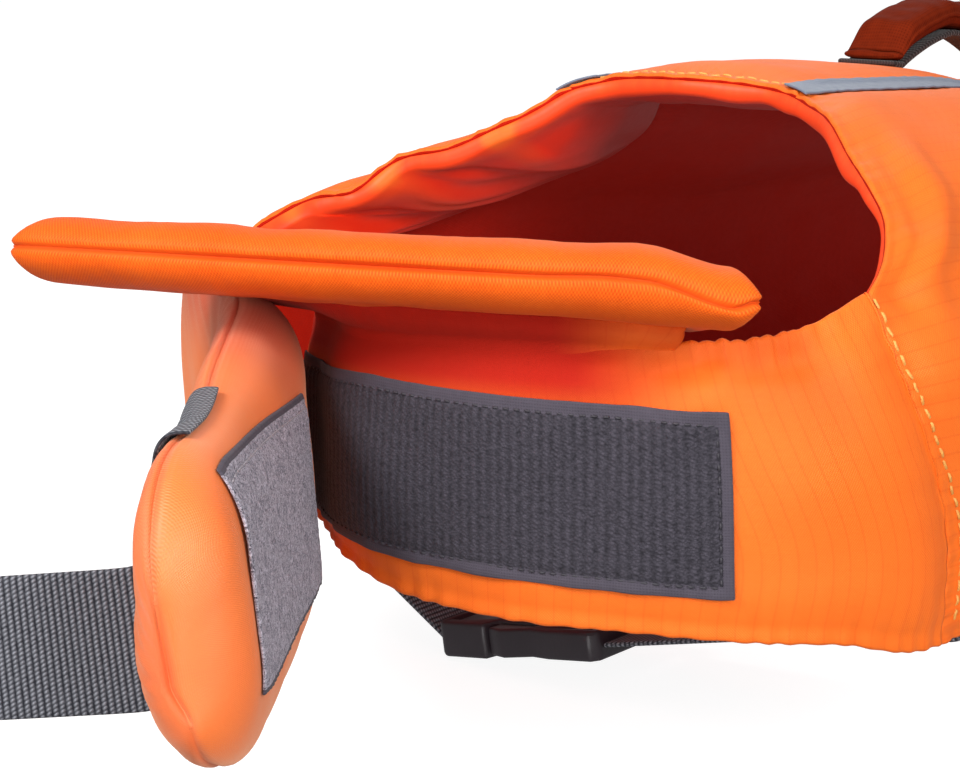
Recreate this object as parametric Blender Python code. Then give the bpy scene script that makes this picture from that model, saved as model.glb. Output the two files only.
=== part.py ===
"""Dog life jacket, size large, front closure open, filled out as if worn.

Frame: the head end faces -Y, the dog's left is +X, +Z is up. The origin is the point on the
inside of the back panel that rests on the withers. Metres throughout.

The back and sides lie on one body surface, given by an angle from the spine and a
distance along it. The chest lies on the same surface's rounded nose, given by a plan angle and
a height. Every piece is a closed wall: a grid of outer points, one of inner points, and a rim.
"""
import math

import bmesh
import bpy
import numpy as np

# Gaps and cloth
SEAM_GAP = 0.0004
SHOULDER_GAP = 0.0012
REST_GAP = 0.0004
TAPE_GAP = 0.0009
EDGE_HALF = 0.0012
SHEET = 0.0016
WEBBING = 0.0016
WEBBING_WIDTH = 0.038
TAPE_WIDTH = 0.050

# Body surface
ROUNDNESS = 2.3
NOSE_START = -0.125
NOSE_LENGTH = 0.098
TUCK_LENGTH = 0.300
SECTION_COLUMNS = ("y", "half_width", "top", "middle", "belly")
SECTIONS = (
    (-0.125, 0.138, 0.008, -0.095, -0.172),
    (-0.078, 0.138, 0.009, -0.095, -0.172),
    (-0.046, 0.138, 0.009, -0.095, -0.172),
    (-0.016, 0.138, 0.008, -0.095, -0.172),
    (0.044, 0.139, 0.004, -0.096, -0.173),
    (0.110, 0.140, -0.0075, -0.097, -0.174),
    (0.200, 0.138, -0.0105, -0.097, -0.174),
    (0.345, 0.128, -0.0140, -0.095, -0.166),
)
SLUMP = 0.0130
SLUMP_ANGLE = math.radians(-36)
SLUMP_SPREAD = math.radians(22)

# Body pieces, angles measured from the spine
STRIP_ANGLE = math.radians(16.0)
LOW_ANGLE = math.radians(124.0)
EDGE_COLUMNS = ("angle", "y")
NECK_END = math.radians(61)
RIM = ((0, -0.062), (12, -0.058), (20, -0.068), (27, -0.082), (42, -0.107), (50, -0.117),
       (57, -0.132), (61, -0.143))
SHOULDER_SEAM = ((61, -0.143), (67, -0.143), (73, -0.142), (79, -0.139), (85, -0.135),
                 (91, -0.129), (124, -0.126))
REAR_HEM = ((0, 0.345), (30, 0.345), (70, 0.340), (100, 0.330), (124, 0.320))
BACK_PUFF_OUT = 0.0034
BACK_PUFF_IN = 0.0068
PANEL_ARC = 0.138
PANEL_LENGTH = 0.38
SEAM_MARGIN = 0.0036
PUFF_REACH = 0.020
RIPPLE_FAR = 0.0026
RIPPLE_NEAR = 0.0010
RIPPLE_REACH = 0.016

# Reflective strips
STRIP_WIDTH = 0.0054
STRIP_SHORT = 0.0015
STRIP_THICKNESS = 0.0008

# Neck facing
FACING_REST = 0.0009
FACING_HANG = 0.0014
FACING_FOLD = 0.0016

# Chest flap on the dog's left, plan angle from the side towards the front and past it
CHEST_COLUMNS = ("plan", "neckline", "lower_edge", "inset")
CHEST = (
    (0, -0.0420, -0.1414, 0.0000),
    (12, -0.0440, -0.1392, 0.0000),
    (22, -0.0480, -0.1345, 0.0000),
    (36, -0.0515, -0.1320, 0.0000),
    (54, -0.0520, -0.1300, 0.0010),
    (72, -0.0530, -0.1300, 0.0030),
    (86, -0.0550, -0.1280, 0.0060),
    (96, -0.0565, -0.1262, 0.0120),
    (108, -0.0575, -0.1240, 0.0240),
    (122, -0.0600, -0.1200, 0.0300),
)
CHEST_END = math.radians(122)
CHEST_PUFF = 0.0022
CHEST_RUN = 0.27
CHEST_HEIGHT = 0.08
CHEST_REACH = 0.012
SCALLOPS = 21
SCALLOP_START = math.radians(20)
SCALLOP_END = math.radians(80)
SCALLOP_HEIGHT = 0.0009
HOOK_PLAN = (math.radians(40), math.radians(101))
HOOK_TOP = -0.0680

# Chest flap on the dog's right, swung forward: its middle line in plan, far seam to tip
SWING = (
    (-0.1380, -0.1290),
    (-0.1300, -0.1500),
    (-0.1140, -0.1730),
    (-0.0940, -0.1920),
    (-0.0740, -0.2030),
    (-0.0560, -0.2090),
    (-0.0385, -0.2195),
    (-0.0215, -0.2390),
    (0.0129, -0.2819),
    (0.0645, -0.3482),
)
FLAP_COLUMNS = ("along", "top", "bottom", "half", "lean")
FLAP = (
    (0.00, -0.0420, -0.1400, 0.0016, 0.00),
    (0.14, -0.0520, -0.1375, 0.0050, 0.00),
    (0.30, -0.0560, -0.1350, 0.0070, 0.00),
    (0.44, -0.0570, -0.1360, 0.0100, 0.03),
    (0.56, -0.0590, -0.1390, 0.0130, 0.08),
    (0.75, -0.0610, -0.1432, 0.0140, 0.14),
    (1.00, -0.0600, -0.1408, 0.0140, 0.16),
)
FLAP_ROUND = 0.036
FLAP_EDGE = 0.0012
FLAP_TIP_SHARE = 0.34
FLAP_TIP_DROP = 0.010
FLAP_HEIGHT = 0.080
FLAP_TIP_DOME = 0.016
LOOP_FROM_TIP = (0.016, 0.134)
LOOP_TOP = -0.0700

# Chin float
FLOAT_RIGHT = (0.1250, -0.2060, -0.0305)
FLOAT_LEFT = (-0.0830, -0.2840, -0.0290)
FLOAT_DEPTH = 0.052
FLOAT_HALF = (0.0098, 0.0112)
FLOAT_FAR_SCALE = 0.72
FLOAT_DROP = 0.22
FLOAT_ROUND = 0.022
FLOAT_END_SHARE = 0.55
FLOAT_END_DROP = 0.0010
FLOAT_DOMES = (0.012, 0.013)
FLOAT_CLEAR = 0.0009
HINGE_PLAN = (math.radians(44), math.radians(88))
HINGE_GAP = 0.0006

# Straps and buckles
FRONT_STRAP_Y = -0.092
REAR_STRAP_Y = 0.130
STRAP_SEWN = (math.radians(109), math.radians(123.8))
STRAP_HANG = 0.0070
STRAP_TURN = 0.0070
BUCKLE_ENDS = ((0.0080, -0.1745), (-0.0620, -0.1862))
BUCKLE_LENGTH = 0.070
BUCKLE_WIDTH = 0.048
BUCKLE_THICKNESS = 0.0125
BUCKLE_CORNER = 0.003
HOUSING_WAIST = ((-0.013, 0.0), (-0.011, 0.0072), (0.004, 0.0072), (0.008, 0.0122))
PRONG_SHARE = 0.8
PRONG_SIDE = ((0.0090, 0.0116), (0.0050, 0.0064), (-0.0102, 0.0064), (-0.0118, 0.001), (-0.0040, -0.0016),
              (0.0060, 0.0016), (0.0140, 0.0))
BUCKLE_CLEAR = 0.0008
BUCKLE_EDGE = 0.0009
NECK_BUCKLE_ANGLE = math.radians(91)
ANCHOR_Y = -0.060
NECK_STRAP_SEWN = (0.108, 0.080)
NECK_STRAP_Z = -0.1200
NECK_STRAP_BEND = 0.012
NECK_STRAP_PULL = (-0.85, -0.52)
NECK_STRAP_FREE = 0.090
NECK_STRAP_DROOP = 0.010
KEEPER_FROM_TIP = (0.052, 0.090)
KEEPER_Z = (-0.0660, -0.0985)
KEEPER_BOW = 0.0008

# Handle
HANDLE_FRONT = 0.064
HANDLE_REAR = 0.172
HANDLE_WIDTH = 0.025
HANDLE_RISE = 0.0140
HANDLE_FOOT = 0.010
HANDLE_THICKNESS = 0.0022
HANDLE_FLAT = 0.90
GRIP_WIDTH = 0.021
GRIP_THICKNESS = 0.0110
GRIP_ENDS = 0.006
GRIP_TAPER = 0.016
GRIP_END_SHARE = 0.30
GRIP_SECTION = ((-1.0, 0.35), (-0.8, 0.8), (-0.5, 1.0), (0.5, 1.0), (0.8, 0.8), (1.0, 0.35))

# Colours, linear
ORANGE = (0.90, 0.16, 0.015)
RED_LINING = (0.55, 0.035, 0.012)
HOOK_GREY = (0.050, 0.046, 0.060)
LOOP_GREY = (0.150, 0.135, 0.165)
STRAP_GREY = (0.060, 0.064, 0.075)
SILVER = (0.36, 0.38, 0.43)
RUST = (0.30, 0.06, 0.015)
BLACK = (0.012, 0.012, 0.014)


def clear_scene():
    for item in list(bpy.data.objects):
        bpy.data.objects.remove(item, do_unlink=True)


def material(name, colour, roughness, metallic=0.0):
    made = bpy.data.materials.new(name)
    made.use_nodes = True
    shader = made.node_tree.nodes["Principled BSDF"]
    shader.inputs["Base Color"].default_value = (*colour, 1.0)
    shader.inputs["Roughness"].default_value = roughness
    shader.inputs["Metallic"].default_value = metallic
    return made


def smooth_column(rows, column, key):
    """Smooth value of one column of a table at each key, the table's first column."""
    table = np.array(rows, dtype=float)
    x, y = table[:, 0], table[:, column]
    slopes = np.gradient(y, x)
    key = np.clip(key, x[0], x[-1])
    i = np.clip(np.searchsorted(x, key) - 1, 0, len(x) - 2)
    width = x[i + 1] - x[i]
    s = (key - x[i]) / width
    start = (1 + 2 * s) * (1 - s) ** 2 * y[i] + s * (1 - s) ** 2 * width * slopes[i]
    end = s * s * (3 - 2 * s) * y[i + 1] + s * s * (s - 1) * width * slopes[i + 1]
    return start + end


def column_of(names, name):
    return names.index(name)


def smoothstep(value, low, high):
    s = np.clip((value - low) / (high - low), 0.0, 1.0)
    return s * s * (3 - 2 * s)


def power(value, exponent):
    return np.sign(value) * np.abs(value) ** exponent


def section(y, name):
    return smooth_column(SECTIONS, column_of(SECTION_COLUMNS, name), y)


def by_angle(rows, angle):
    """Distance along the spine of an edge at an angle either side of the spine."""
    return smooth_column(rows, column_of(EDGE_COLUMNS, "y"), np.degrees(np.abs(angle)))


def ripple(angle, y):
    """Soft gathers near the neck edge, deeper on the dog's right."""
    away = np.maximum(y - by_angle(RIM, angle), 0.0)
    depth = np.where(angle < 0, RIPPLE_FAR, RIPPLE_NEAR) * np.exp(-((away / RIPPLE_REACH) ** 2))
    depth = depth * smoothstep(np.abs(angle), math.radians(12), math.radians(20))
    depth = depth * (1 - smoothstep(np.abs(angle), math.radians(52), math.radians(60)))
    return depth * (np.sin(angle * 17.0) * 0.65 + np.sin(angle * 27.0 + 1.0) * 0.35)


def body_point(angle, y):
    """Point of the body surface: angle 0 at the spine, positive on the dog's left."""
    angle, y = np.broadcast_arrays(np.asarray(angle, float), np.asarray(y, float))
    shrink = np.sqrt(np.clip(1 - (np.maximum(NOSE_START - y, 0) / NOSE_LENGTH) ** 2, 0, 1))
    half = section(y, "half_width")
    top, middle, belly = section(y, "top"), section(y, "middle"), section(y, "belly")
    across = power(np.sin(angle), 2 / ROUNDNESS)
    down = power(np.cos(angle), 2 / ROUNDNESS)
    upper = down >= 0
    tuck = smoothstep(y, NOSE_START, NOSE_START + TUCK_LENGTH)
    side = np.where(upper, across, np.sign(across) * (1 - tuck) + across * tuck)
    height = np.where(upper, middle + (top - middle) * shrink * down, middle + (middle - belly) * down)
    slump = SLUMP * np.exp(-(((angle - SLUMP_ANGLE) / SLUMP_SPREAD) ** 2))
    slump = slump * smoothstep(-angle, math.radians(8), math.radians(24))
    return np.stack([half * shrink * side, y, height - slump + ripple(angle, y)], axis=-1)


def nose_point(plan, z, inset=0.0):
    """Point of the chest: plan angle 0 at the dog's left side, 90 degrees at the front."""
    half = section(NOSE_START, "half_width")
    top, middle = section(NOSE_START, "top"), section(NOSE_START, "middle")
    lift = np.clip((z - middle) / (top - middle), 0, 0.999)
    scale = (1 - lift ** ROUNDNESS) ** (1 / ROUNDNESS)
    x = (half * scale - inset) * np.cos(plan)
    y = NOSE_START - (NOSE_LENGTH * scale - inset) * np.sin(plan)
    return np.stack(np.broadcast_arrays(x, y, z), axis=-1)


def unit(vectors):
    return vectors / np.linalg.norm(vectors, axis=-1, keepdims=True)


def normals(surface, u, v, step_u=1e-3, step_v=1e-4):
    """Unit normals of a surface by central differences, along d/du x d/dv."""
    along_u = surface(u + step_u, v) - surface(u - step_u, v)
    along_v = surface(u, v + step_v) - surface(u, v - step_v)
    return unit(np.cross(along_u, along_v))


def lofted(name, outer, inner, finish):
    """Closed wall between two grids of points of the same shape."""
    rows, columns = outer.shape[:2]
    mesh = bpy.data.meshes.new(name)
    build = bmesh.new()
    sides = []
    for grid in (outer, inner):
        sides.append([[build.verts.new(tuple(point)) for point in row] for row in grid])
    a, b = sides
    for i in range(rows - 1):
        for j in range(columns - 1):
            build.faces.new((a[i][j], a[i][j + 1], a[i + 1][j + 1], a[i + 1][j]))
            build.faces.new((b[i][j], b[i + 1][j], b[i + 1][j + 1], b[i][j + 1]))
    for i in (0, rows - 1):
        for j in range(columns - 1):
            build.faces.new((a[i][j], a[i][j + 1], b[i][j + 1], b[i][j]))
    for j in (0, columns - 1):
        for i in range(rows - 1):
            build.faces.new((a[i][j], a[i + 1][j], b[i + 1][j], b[i][j]))
    bmesh.ops.recalc_face_normals(build, faces=build.faces)
    if build.calc_volume(signed=True) < 0:
        bmesh.ops.reverse_faces(build, faces=build.faces)
    build.to_mesh(mesh)
    build.free()
    mesh.shade_smooth()
    mesh.set_sharp_from_angle(angle=math.radians(40))
    mesh.materials.append(finish)
    made = bpy.data.objects.new(name, mesh)
    bpy.context.collection.objects.link(made)
    return made


def stations(length, margin, reach, middle):
    """Positions 0..1 along a length, close together where padding rises from each edge."""
    start = [0.0, margin] + [margin + reach * s for s in (0.2, 0.5, 1.0)]
    inside = np.linspace(start[-1], length - start[-1], middle + 2)[1:-1]
    line = np.concatenate([start, inside, [length - s for s in start[::-1]]])
    return line / length


def swell(distance, margin=SEAM_MARGIN, reach=PUFF_REACH):
    """Padding height 0..1 at a distance from a seam."""
    return np.sin(np.clip((distance - margin) / reach, 0, 1) * math.pi / 2) ** 0.9


def padding(angle, y):
    """Padding height 0..1 of the back and side panels."""
    arc = section(y, "half_width")
    to_strip = np.abs(np.abs(angle) - STRIP_ANGLE) * arc
    to_low = np.maximum(LOW_ANGLE - np.abs(angle), 0) * arc
    to_front = y - np.where(np.abs(angle) < NECK_END, by_angle(RIM, angle), by_angle(SHOULDER_SEAM, angle))
    to_rear = by_angle(REAR_HEM, angle) - y
    return swell(to_strip) * swell(to_low) * swell(np.maximum(to_front, 0)) * swell(np.maximum(to_rear, 0))


def front_edge(angle):
    turned = np.abs(angle)
    return np.where(turned < NECK_END, by_angle(RIM, angle), by_angle(SHOULDER_SEAM, angle))


def outward(angles, ys):
    base = body_point(angles, ys)
    out = normals(body_point, angles, ys)
    centre = base.copy()
    centre[..., 0] = 0
    centre[..., 2] = -0.09
    flip = np.sign((out * (base - centre)).sum(axis=-1, keepdims=True))
    return out * np.where(flip == 0, 1, flip)


def body_outer(angles, ys, lift):
    """Point above the padded outer face of the back and side panels."""
    fill = padding(angles, ys)[..., None]
    base = body_point(angles, ys)
    return base + outward(angles, ys) * (EDGE_HALF + BACK_PUFF_OUT * fill + np.asarray(lift)[..., None])


def body_inner(angles, ys, depth):
    fill = padding(angles, ys)[..., None]
    base = body_point(angles, ys)
    thick = EDGE_HALF + (BACK_PUFF_IN - EDGE_HALF) * fill
    return base - outward(angles, ys) * (thick + np.asarray(depth)[..., None])


def body_rows():
    """Positions 0..1 of the rows of the back and side panels, front edge to rear hem."""
    return stations(PANEL_LENGTH, SEAM_MARGIN, PUFF_REACH, 9)


def side_angles():
    """Angles of the columns of a side panel, close together where the neck edge is gathered."""
    arc = PANEL_ARC
    start = STRIP_ANGLE + np.array([0.0, SEAM_MARGIN, SEAM_MARGIN + 0.003, SEAM_MARGIN + 0.007]) / arc
    gathered = np.arange(start[-1] + math.radians(3.8), math.radians(62), math.radians(3.8))
    end = LOW_ANGLE - np.array([0.020, 0.0120, 0.0070, SEAM_MARGIN, 0.0]) / arc
    plain = np.linspace(gathered[-1], end[0], 7)[1:-1]
    return np.concatenate([start, gathered, plain, end])


def panel(name, lines, finish):
    """Body panel over a row of angles, from the front edge to the rear hem."""
    front = front_edge(lines)
    rear = by_angle(REAR_HEM, lines)
    along = body_rows()
    angles = np.repeat(lines[None, :], len(along), axis=0)
    ys = front[None, :] + (rear - front)[None, :] * along[:, None]
    outer = body_outer(angles, ys, np.zeros_like(ys))
    inner = body_inner(angles, ys, np.zeros_like(ys))
    return lofted(name, outer, inner, finish)


def back_and_sides(finish):
    gap = SEAM_GAP / 2 / PANEL_ARC * 1.06
    back = STRIP_ANGLE * (2 * stations(2 * STRIP_ANGLE * PANEL_ARC, SEAM_MARGIN, PUFF_REACH * 0.7, 2) - 1)
    back[0] += gap
    back[-1] -= gap
    side = side_angles()
    side[0] += gap
    side[-1] -= gap
    panel("back_panel", back, finish)
    panel("side_panel_left", side, finish)
    panel("side_panel_right", -side, finish)


def neck_facing(finish):
    """Gathered band inside the neck edge, from one shoulder seam over the back to the other."""
    side = side_angles()
    side = side[side < math.radians(60.8)]
    middle = STRIP_ANGLE * (2 * stations(2 * STRIP_ANGLE * PANEL_ARC, SEAM_MARGIN, PUFF_REACH * 0.7, 2) - 1)
    columns = np.concatenate([-side[::-1], middle[1:-1], side])
    halves = (columns[1:] + columns[:-1]) / 2
    angles = np.sort(np.concatenate([columns, halves]))
    rows = body_rows()[:5]
    grid = np.repeat(angles[None, :], len(rows), axis=0)
    front, rear = by_angle(RIM, grid), by_angle(REAR_HEM, grid)
    ys = front + (rear - front) * rows[:, None]
    ys[0] += SEAM_GAP
    depth = np.linspace(0, 1, len(rows))[:, None]
    rest = FACING_REST + (FACING_HANG - FACING_REST) * smoothstep(depth, 0.0, 0.7)
    outer = body_inner(grid, ys, rest + 0 * ys)
    wave = 0.5 + 0.5 * np.sin(grid * 42.0) * np.cos(grid * 9.0 + 0.6)
    fold = SHEET + FACING_FOLD * wave * np.sin(depth * math.pi)
    inner = body_inner(grid, ys, rest + fold)
    return lofted("neck_facing", outer, inner, finish)


def reflective_strip(name, side, finish):
    width = STRIP_WIDTH / PANEL_ARC
    angles = side * (STRIP_ANGLE + np.linspace(-width / 2, width / 2, 3))
    rows = body_rows()
    grid = np.repeat(angles[None, :], len(rows), axis=0)
    start, end = by_angle(RIM, grid) + STRIP_SHORT, by_angle(REAR_HEM, grid) - STRIP_SHORT
    ys = start + (end - start) * rows[:, None]
    low = body_outer(grid, ys, np.full_like(ys, REST_GAP))
    high = body_outer(grid, ys, np.full_like(ys, REST_GAP + STRIP_THICKNESS))
    return lofted(name, high, low, finish)


def seam_point(side, rise):
    """Point of a shoulder seam: side 1 is the dog's left, rise 0 the lower edge, 1 the neck."""
    angles = side * np.radians(np.linspace(124, 61, 60))
    line = body_point(angles, by_angle(SHOULDER_SEAM, angles))
    height = line[0, 2] + (line[-1, 2] - line[0, 2]) * np.asarray(rise, float)
    return np.stack([np.interp(height, line[:, 2], line[:, k]) for k in range(3)], axis=-1)


def chest(plan, name):
    return smooth_column(CHEST, column_of(CHEST_COLUMNS, name), np.degrees(plan))


def scallop(plan):
    """Small waves of the gathered neckline, 0..1."""
    turn = (plan - SCALLOP_START) / (SCALLOP_END - SCALLOP_START)
    wave = np.abs(np.sin(np.clip(turn, 0, 1) * math.pi * SCALLOPS))
    return wave * smoothstep(turn, 0, 0.12) * (1 - smoothstep(turn, 0.88, 1.0))


def chest_plan(along, rise):
    seam = seam_point(1, rise)
    half = section(NOSE_START, "half_width")
    start = np.arctan2((NOSE_START - seam[..., 1]) / NOSE_LENGTH, seam[..., 0] / half)
    return start + (CHEST_END - start) * along, start


def chest_base(along, rise):
    """Middle surface of the left chest flap: along 0 at the seam, 1 at its free end."""
    along, rise = np.broadcast_arrays(np.asarray(along, float), np.asarray(rise, float))
    plan, start = chest_plan(along, rise)
    low, high = chest(plan, "lower_edge"), chest(plan, "neckline")
    z = low + (high - low) * rise
    first_low, first_high = chest(start, "lower_edge"), chest(start, "neckline")
    first = nose_point(start, first_low + (first_high - first_low) * rise, chest(start, "inset"))
    meet = (seam_point(1, rise) - first) * (1 - smoothstep(along, 0.0, 0.2))[..., None]
    return nose_point(plan, z, chest(plan, "inset")) + meet


def chest_sides(along, rise, lift=0.0):
    """Outer and inner faces of the left chest flap, the outer one moved out by lift."""
    along, rise = np.broadcast_arrays(np.asarray(along, float), np.asarray(rise, float))
    base = chest_base(along, rise)
    out = normals(chest_base, along, rise, 1e-4, 1e-4)
    out = out * np.sign((out * (base - [0, NOSE_START, 0]) * [1, 1, 0]).sum(axis=-1, keepdims=True))
    fill = swell(along * CHEST_RUN) * swell((1 - along) * CHEST_RUN)
    for toward in (rise, 1 - rise):
        fill = fill * swell(toward * CHEST_HEIGHT, reach=CHEST_REACH)
    pucker = SCALLOP_HEIGHT * scallop(chest_plan(along, rise)[0]) * smoothstep(rise, 0.84, 0.96)
    half = EDGE_HALF + CHEST_PUFF * fill
    return base + out * (half + pucker + lift)[..., None], base - out * half[..., None]


def chest_flap_left(finish):
    """Flap that carries the hook tape; it passes inside the other flap."""
    near, middle, far = [0.0, 0.013, 0.03, 0.06], np.linspace(0.09, 0.66, 43), np.linspace(0.66, 1, 10)
    along = np.concatenate([near, middle, far[1:]])
    rise = stations(CHEST_HEIGHT, SEAM_MARGIN, CHEST_REACH, 1)
    grid, rows = np.meshgrid(along, rise)
    outer, inner = chest_sides(grid, rows)
    plan = chest_plan(grid, rows)[0]
    lifted = SCALLOP_HEIGHT * scallop(plan) * (rows > 0.999)
    first = (grid == 0)[..., None] * np.array([0.0, -SHOULDER_GAP, 0.0])
    for side in (outer, inner):
        side[..., 2] += lifted
        side += first
    return lofted("chest_flap_left", outer, inner, finish)


def chest_place(plan, z):
    """Position on the left chest flap of a plan angle and a height."""
    rise = (z - chest(plan, "lower_edge")) / (chest(plan, "neckline") - chest(plan, "lower_edge"))
    start = chest_plan(0.0, rise)[1]
    return (plan - start) / (CHEST_END - start), rise


def hook_tape(finish):
    plans = np.linspace(*HOOK_PLAN, 22)
    heights = HOOK_TOP - TAPE_WIDTH * np.linspace(0, 1, 5)
    grid, rows = np.meshgrid(plans, heights)
    along, rise = chest_place(grid, rows)
    top = chest_sides(along, rise, TAPE_GAP + SHEET)[0]
    under = chest_sides(along, rise, TAPE_GAP)[0]
    return lofted("hook_tape", top, under, finish)


def swing_path():
    """Length of the right chest flap's middle line and a table of its plan points."""
    points = np.array(SWING)
    steps = np.linalg.norm(np.diff(points, axis=0), axis=1)
    lengths = np.concatenate([[0.0], np.cumsum(steps)])
    return lengths[-1], np.column_stack([lengths, points])


def flap(along, name):
    return smooth_column(FLAP, column_of(FLAP_COLUMNS, name), along)


def flap_base(along, rise):
    """Middle surface of the right chest flap: along 0 at the seam, 1 at its tip."""
    along, rise = np.broadcast_arrays(np.asarray(along, float), np.asarray(rise, float))
    total, table = swing_path()
    length = np.clip(along, 0, 1) * total
    x, y = smooth_column(table, 1, length), smooth_column(table, 2, length)
    step = 0.0005
    dx = smooth_column(table, 1, length + step) - smooth_column(table, 1, length - step)
    dy = smooth_column(table, 2, length + step) - smooth_column(table, 2, length - step)
    run = np.hypot(dx, dy)
    to_tip = np.clip((1 - along) * total / FLAP_ROUND, 0, 1)
    shorten = FLAP_TIP_SHARE + (1 - FLAP_TIP_SHARE) * np.sqrt(1 - (1 - to_tip) ** 2)
    top, bottom = flap(along, "top"), flap(along, "bottom")
    height = (top - bottom) * (rise - 0.5) * shorten
    lean = flap(along, "lean") * height
    middle = (top + bottom) / 2 - FLAP_TIP_DROP * (1 - shorten)
    base = np.stack([x + dy / run * lean, y - dx / run * lean, middle + height], axis=-1)
    first = np.stack([x * 0 + table[0, 1], y * 0 + table[0, 2], flap(0.0, "bottom") + 0 * rise], axis=-1)
    first[..., 2] += (flap(0.0, "top") - flap(0.0, "bottom")) * rise
    meet = (seam_point(-1, rise) - first) * (1 - smoothstep(along, 0.0, 0.16))[..., None]
    return base + meet


def dome(distance, reach):
    s = np.clip(distance / reach, 0, 1)
    return np.sqrt(1 - (1 - s) ** 2)


def flap_sides(along, rise, lift_in=0.0, lift_out=0.0):
    """Outer and inner faces of the right chest flap."""
    along, rise = np.broadcast_arrays(np.asarray(along, float), np.asarray(rise, float))
    total = swing_path()[0]
    base = flap_base(along, rise)
    turn = normals(flap_base, np.clip(along, 0.002, 0.998), rise, 1e-3, 1e-4)
    inside = np.sign((turn * [1.0, 0.6, 0.0]).sum(axis=-1, keepdims=True))
    turn = turn * inside
    half = flap(along, "half")
    reach = 1.15 * half + 0.001
    fill = dome(rise * FLAP_HEIGHT, reach) * dome((1 - rise) * FLAP_HEIGHT, reach)
    fill = fill * dome((1 - along) * total, FLAP_TIP_DOME)
    half = FLAP_EDGE + (half - FLAP_EDGE) * fill
    return base - turn * (half + lift_out)[..., None], base + turn * (half + lift_in)[..., None]


def flap_rows():
    s = np.array([0.0, 0.02, 0.05, 0.10, 0.17])
    return np.concatenate([s, np.linspace(0.17, 0.83, 6)[1:-1], 1 - s[::-1]])


def chest_flap_right(finish):
    """Thick flap that carries the loop tape, swung open forward."""
    tip = 1 - np.array([0.10, 0.075, 0.055, 0.038, 0.024, 0.013, 0.005, 0.0])
    along = np.concatenate([np.linspace(0, 0.88, 26), tip])
    grid, rows = np.meshgrid(along, flap_rows())
    outer, inner = flap_sides(grid, rows)
    first = (grid == 0)[..., None] * np.array([0.0, -SHOULDER_GAP, 0.0])
    return lofted("chest_flap_right", outer + first, inner + first, finish)


def flap_place(from_tip, z):
    along = 1 - from_tip / swing_path()[0]
    top, bottom = flap(along, "top"), flap(along, "bottom")
    return along, (z - bottom) / (top - bottom)


def loop_tape(finish):
    grid, rows = np.meshgrid(np.linspace(*LOOP_FROM_TIP, 15), LOOP_TOP - TAPE_WIDTH * np.linspace(0, 1, 7))
    along, rise = flap_place(grid, rows)
    top = flap_sides(along, rise, lift_in=TAPE_GAP + SHEET)[1]
    under = flap_sides(along, rise, lift_in=TAPE_GAP)[1]
    return lofted("loop_tape", top, under, finish)


def float_frame():
    right, left = np.array(FLOAT_RIGHT), np.array(FLOAT_LEFT)
    span = left - right
    long_axis = unit(span)
    back = unit(np.array([-long_axis[1], long_axis[0], 0.0]))
    if back[1] < 0:
        back = -back
    depth_axis = unit(back - np.array([0, 0, FLOAT_DROP]))
    up = np.cross(depth_axis, long_axis)
    return (right + left) / 2, np.linalg.norm(span) / 2, long_axis, depth_axis, up * np.sign(up[2])


def float_base(u, v):
    """Middle surface of the chin float: u -1 at the dog's left end, v 0 at the free edge."""
    u, v = np.broadcast_arrays(np.asarray(u, float), np.asarray(v, float))
    centre, half, long_axis, depth_axis, up = float_frame()
    to_end = (1 - np.abs(u)) * half
    shorten = FLOAT_END_SHARE + (1 - FLOAT_END_SHARE) * dome(to_end, FLOAT_ROUND)
    depth = FLOAT_DEPTH * (0.42 + (v - 0.42) * shorten)
    along = half * u * (1 - (1 - FLOAT_FAR_SCALE) * v)
    sag = -FLOAT_END_DROP * (1 - smoothstep(to_end, 0.0, 0.030)) * (u < 0)
    return centre + along[..., None] * long_axis + depth[..., None] * depth_axis + sag[..., None] * up


def float_sides(u, v):
    up = float_frame()[4]
    half = float_frame()[1]
    fill = dome((1 - np.abs(u)) * half, FLOAT_DOMES[0]) * dome(v * FLOAT_DEPTH, FLOAT_DOMES[1])
    fill = fill * dome((1 - v) * FLOAT_DEPTH, FLOAT_DOMES[1])
    full = FLOAT_HALF[0] + (FLOAT_HALF[1] - FLOAT_HALF[0]) * (u + 1) / 2
    thick = (FLAP_EDGE + (full - FLAP_EDGE) * fill)[..., None]
    base = float_base(u, v)
    return base + up * thick, base - up * thick


def chin_float(finish):
    end = np.array([0.0, 0.006, 0.018, 0.04, 0.075, 0.12, 0.18, 0.26])
    u = np.concatenate([-1 + end, np.linspace(-0.62, 0.62, 9), 1 - end[::-1]])
    s = np.array([0.0, 0.02, 0.06, 0.13, 0.25])
    v = np.concatenate([s, [0.42, 0.58], 1 - s[::-1]])
    grid, rows = np.meshgrid(u, v)
    top, under = float_sides(grid, rows)
    return lofted("chin_float", top, under, finish)


def float_underside(points):
    """Height of the chin float's underside above plan points."""
    centre, half, long_axis, depth_axis, up = float_frame()
    flat_long, flat_depth = long_axis[:2], depth_axis[:2]
    rel = points[..., :2] - centre[:2]
    v = (rel @ flat_depth) / (flat_depth @ flat_depth) / FLOAT_DEPTH
    v = np.clip(v, 0.05, 0.95)
    u = (rel @ flat_long) / (flat_long @ flat_long) / (half * (1 - (1 - FLOAT_FAR_SCALE) * v))
    under = float_sides(u, v)[1]
    return under[..., 2]


def float_hinge(finish):
    """Web that joins the left flap's neckline to the underside of the chin float."""
    plans = np.linspace(*HINGE_PLAN, 16)
    low = chest(plans, "neckline") + SCALLOP_HEIGHT * scallop(plans) + HINGE_GAP
    start = nose_point(plans, chest(plans, "neckline"), chest(plans, "inset"))
    out = unit(start * [1, 1, 0] - [0, NOSE_START, 0])
    high = float_underside(start) - FLOAT_CLEAR
    grid = start[None] + np.array([0.0, 0.5, 1.0])[:, None, None] * 0
    grid[..., 2] = low + (high - low) * np.array([0.0, 0.5, 1.0])[:, None]
    return lofted("float_hinge", grid + out * SHEET / 2, grid - out * SHEET / 2, finish)


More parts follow.
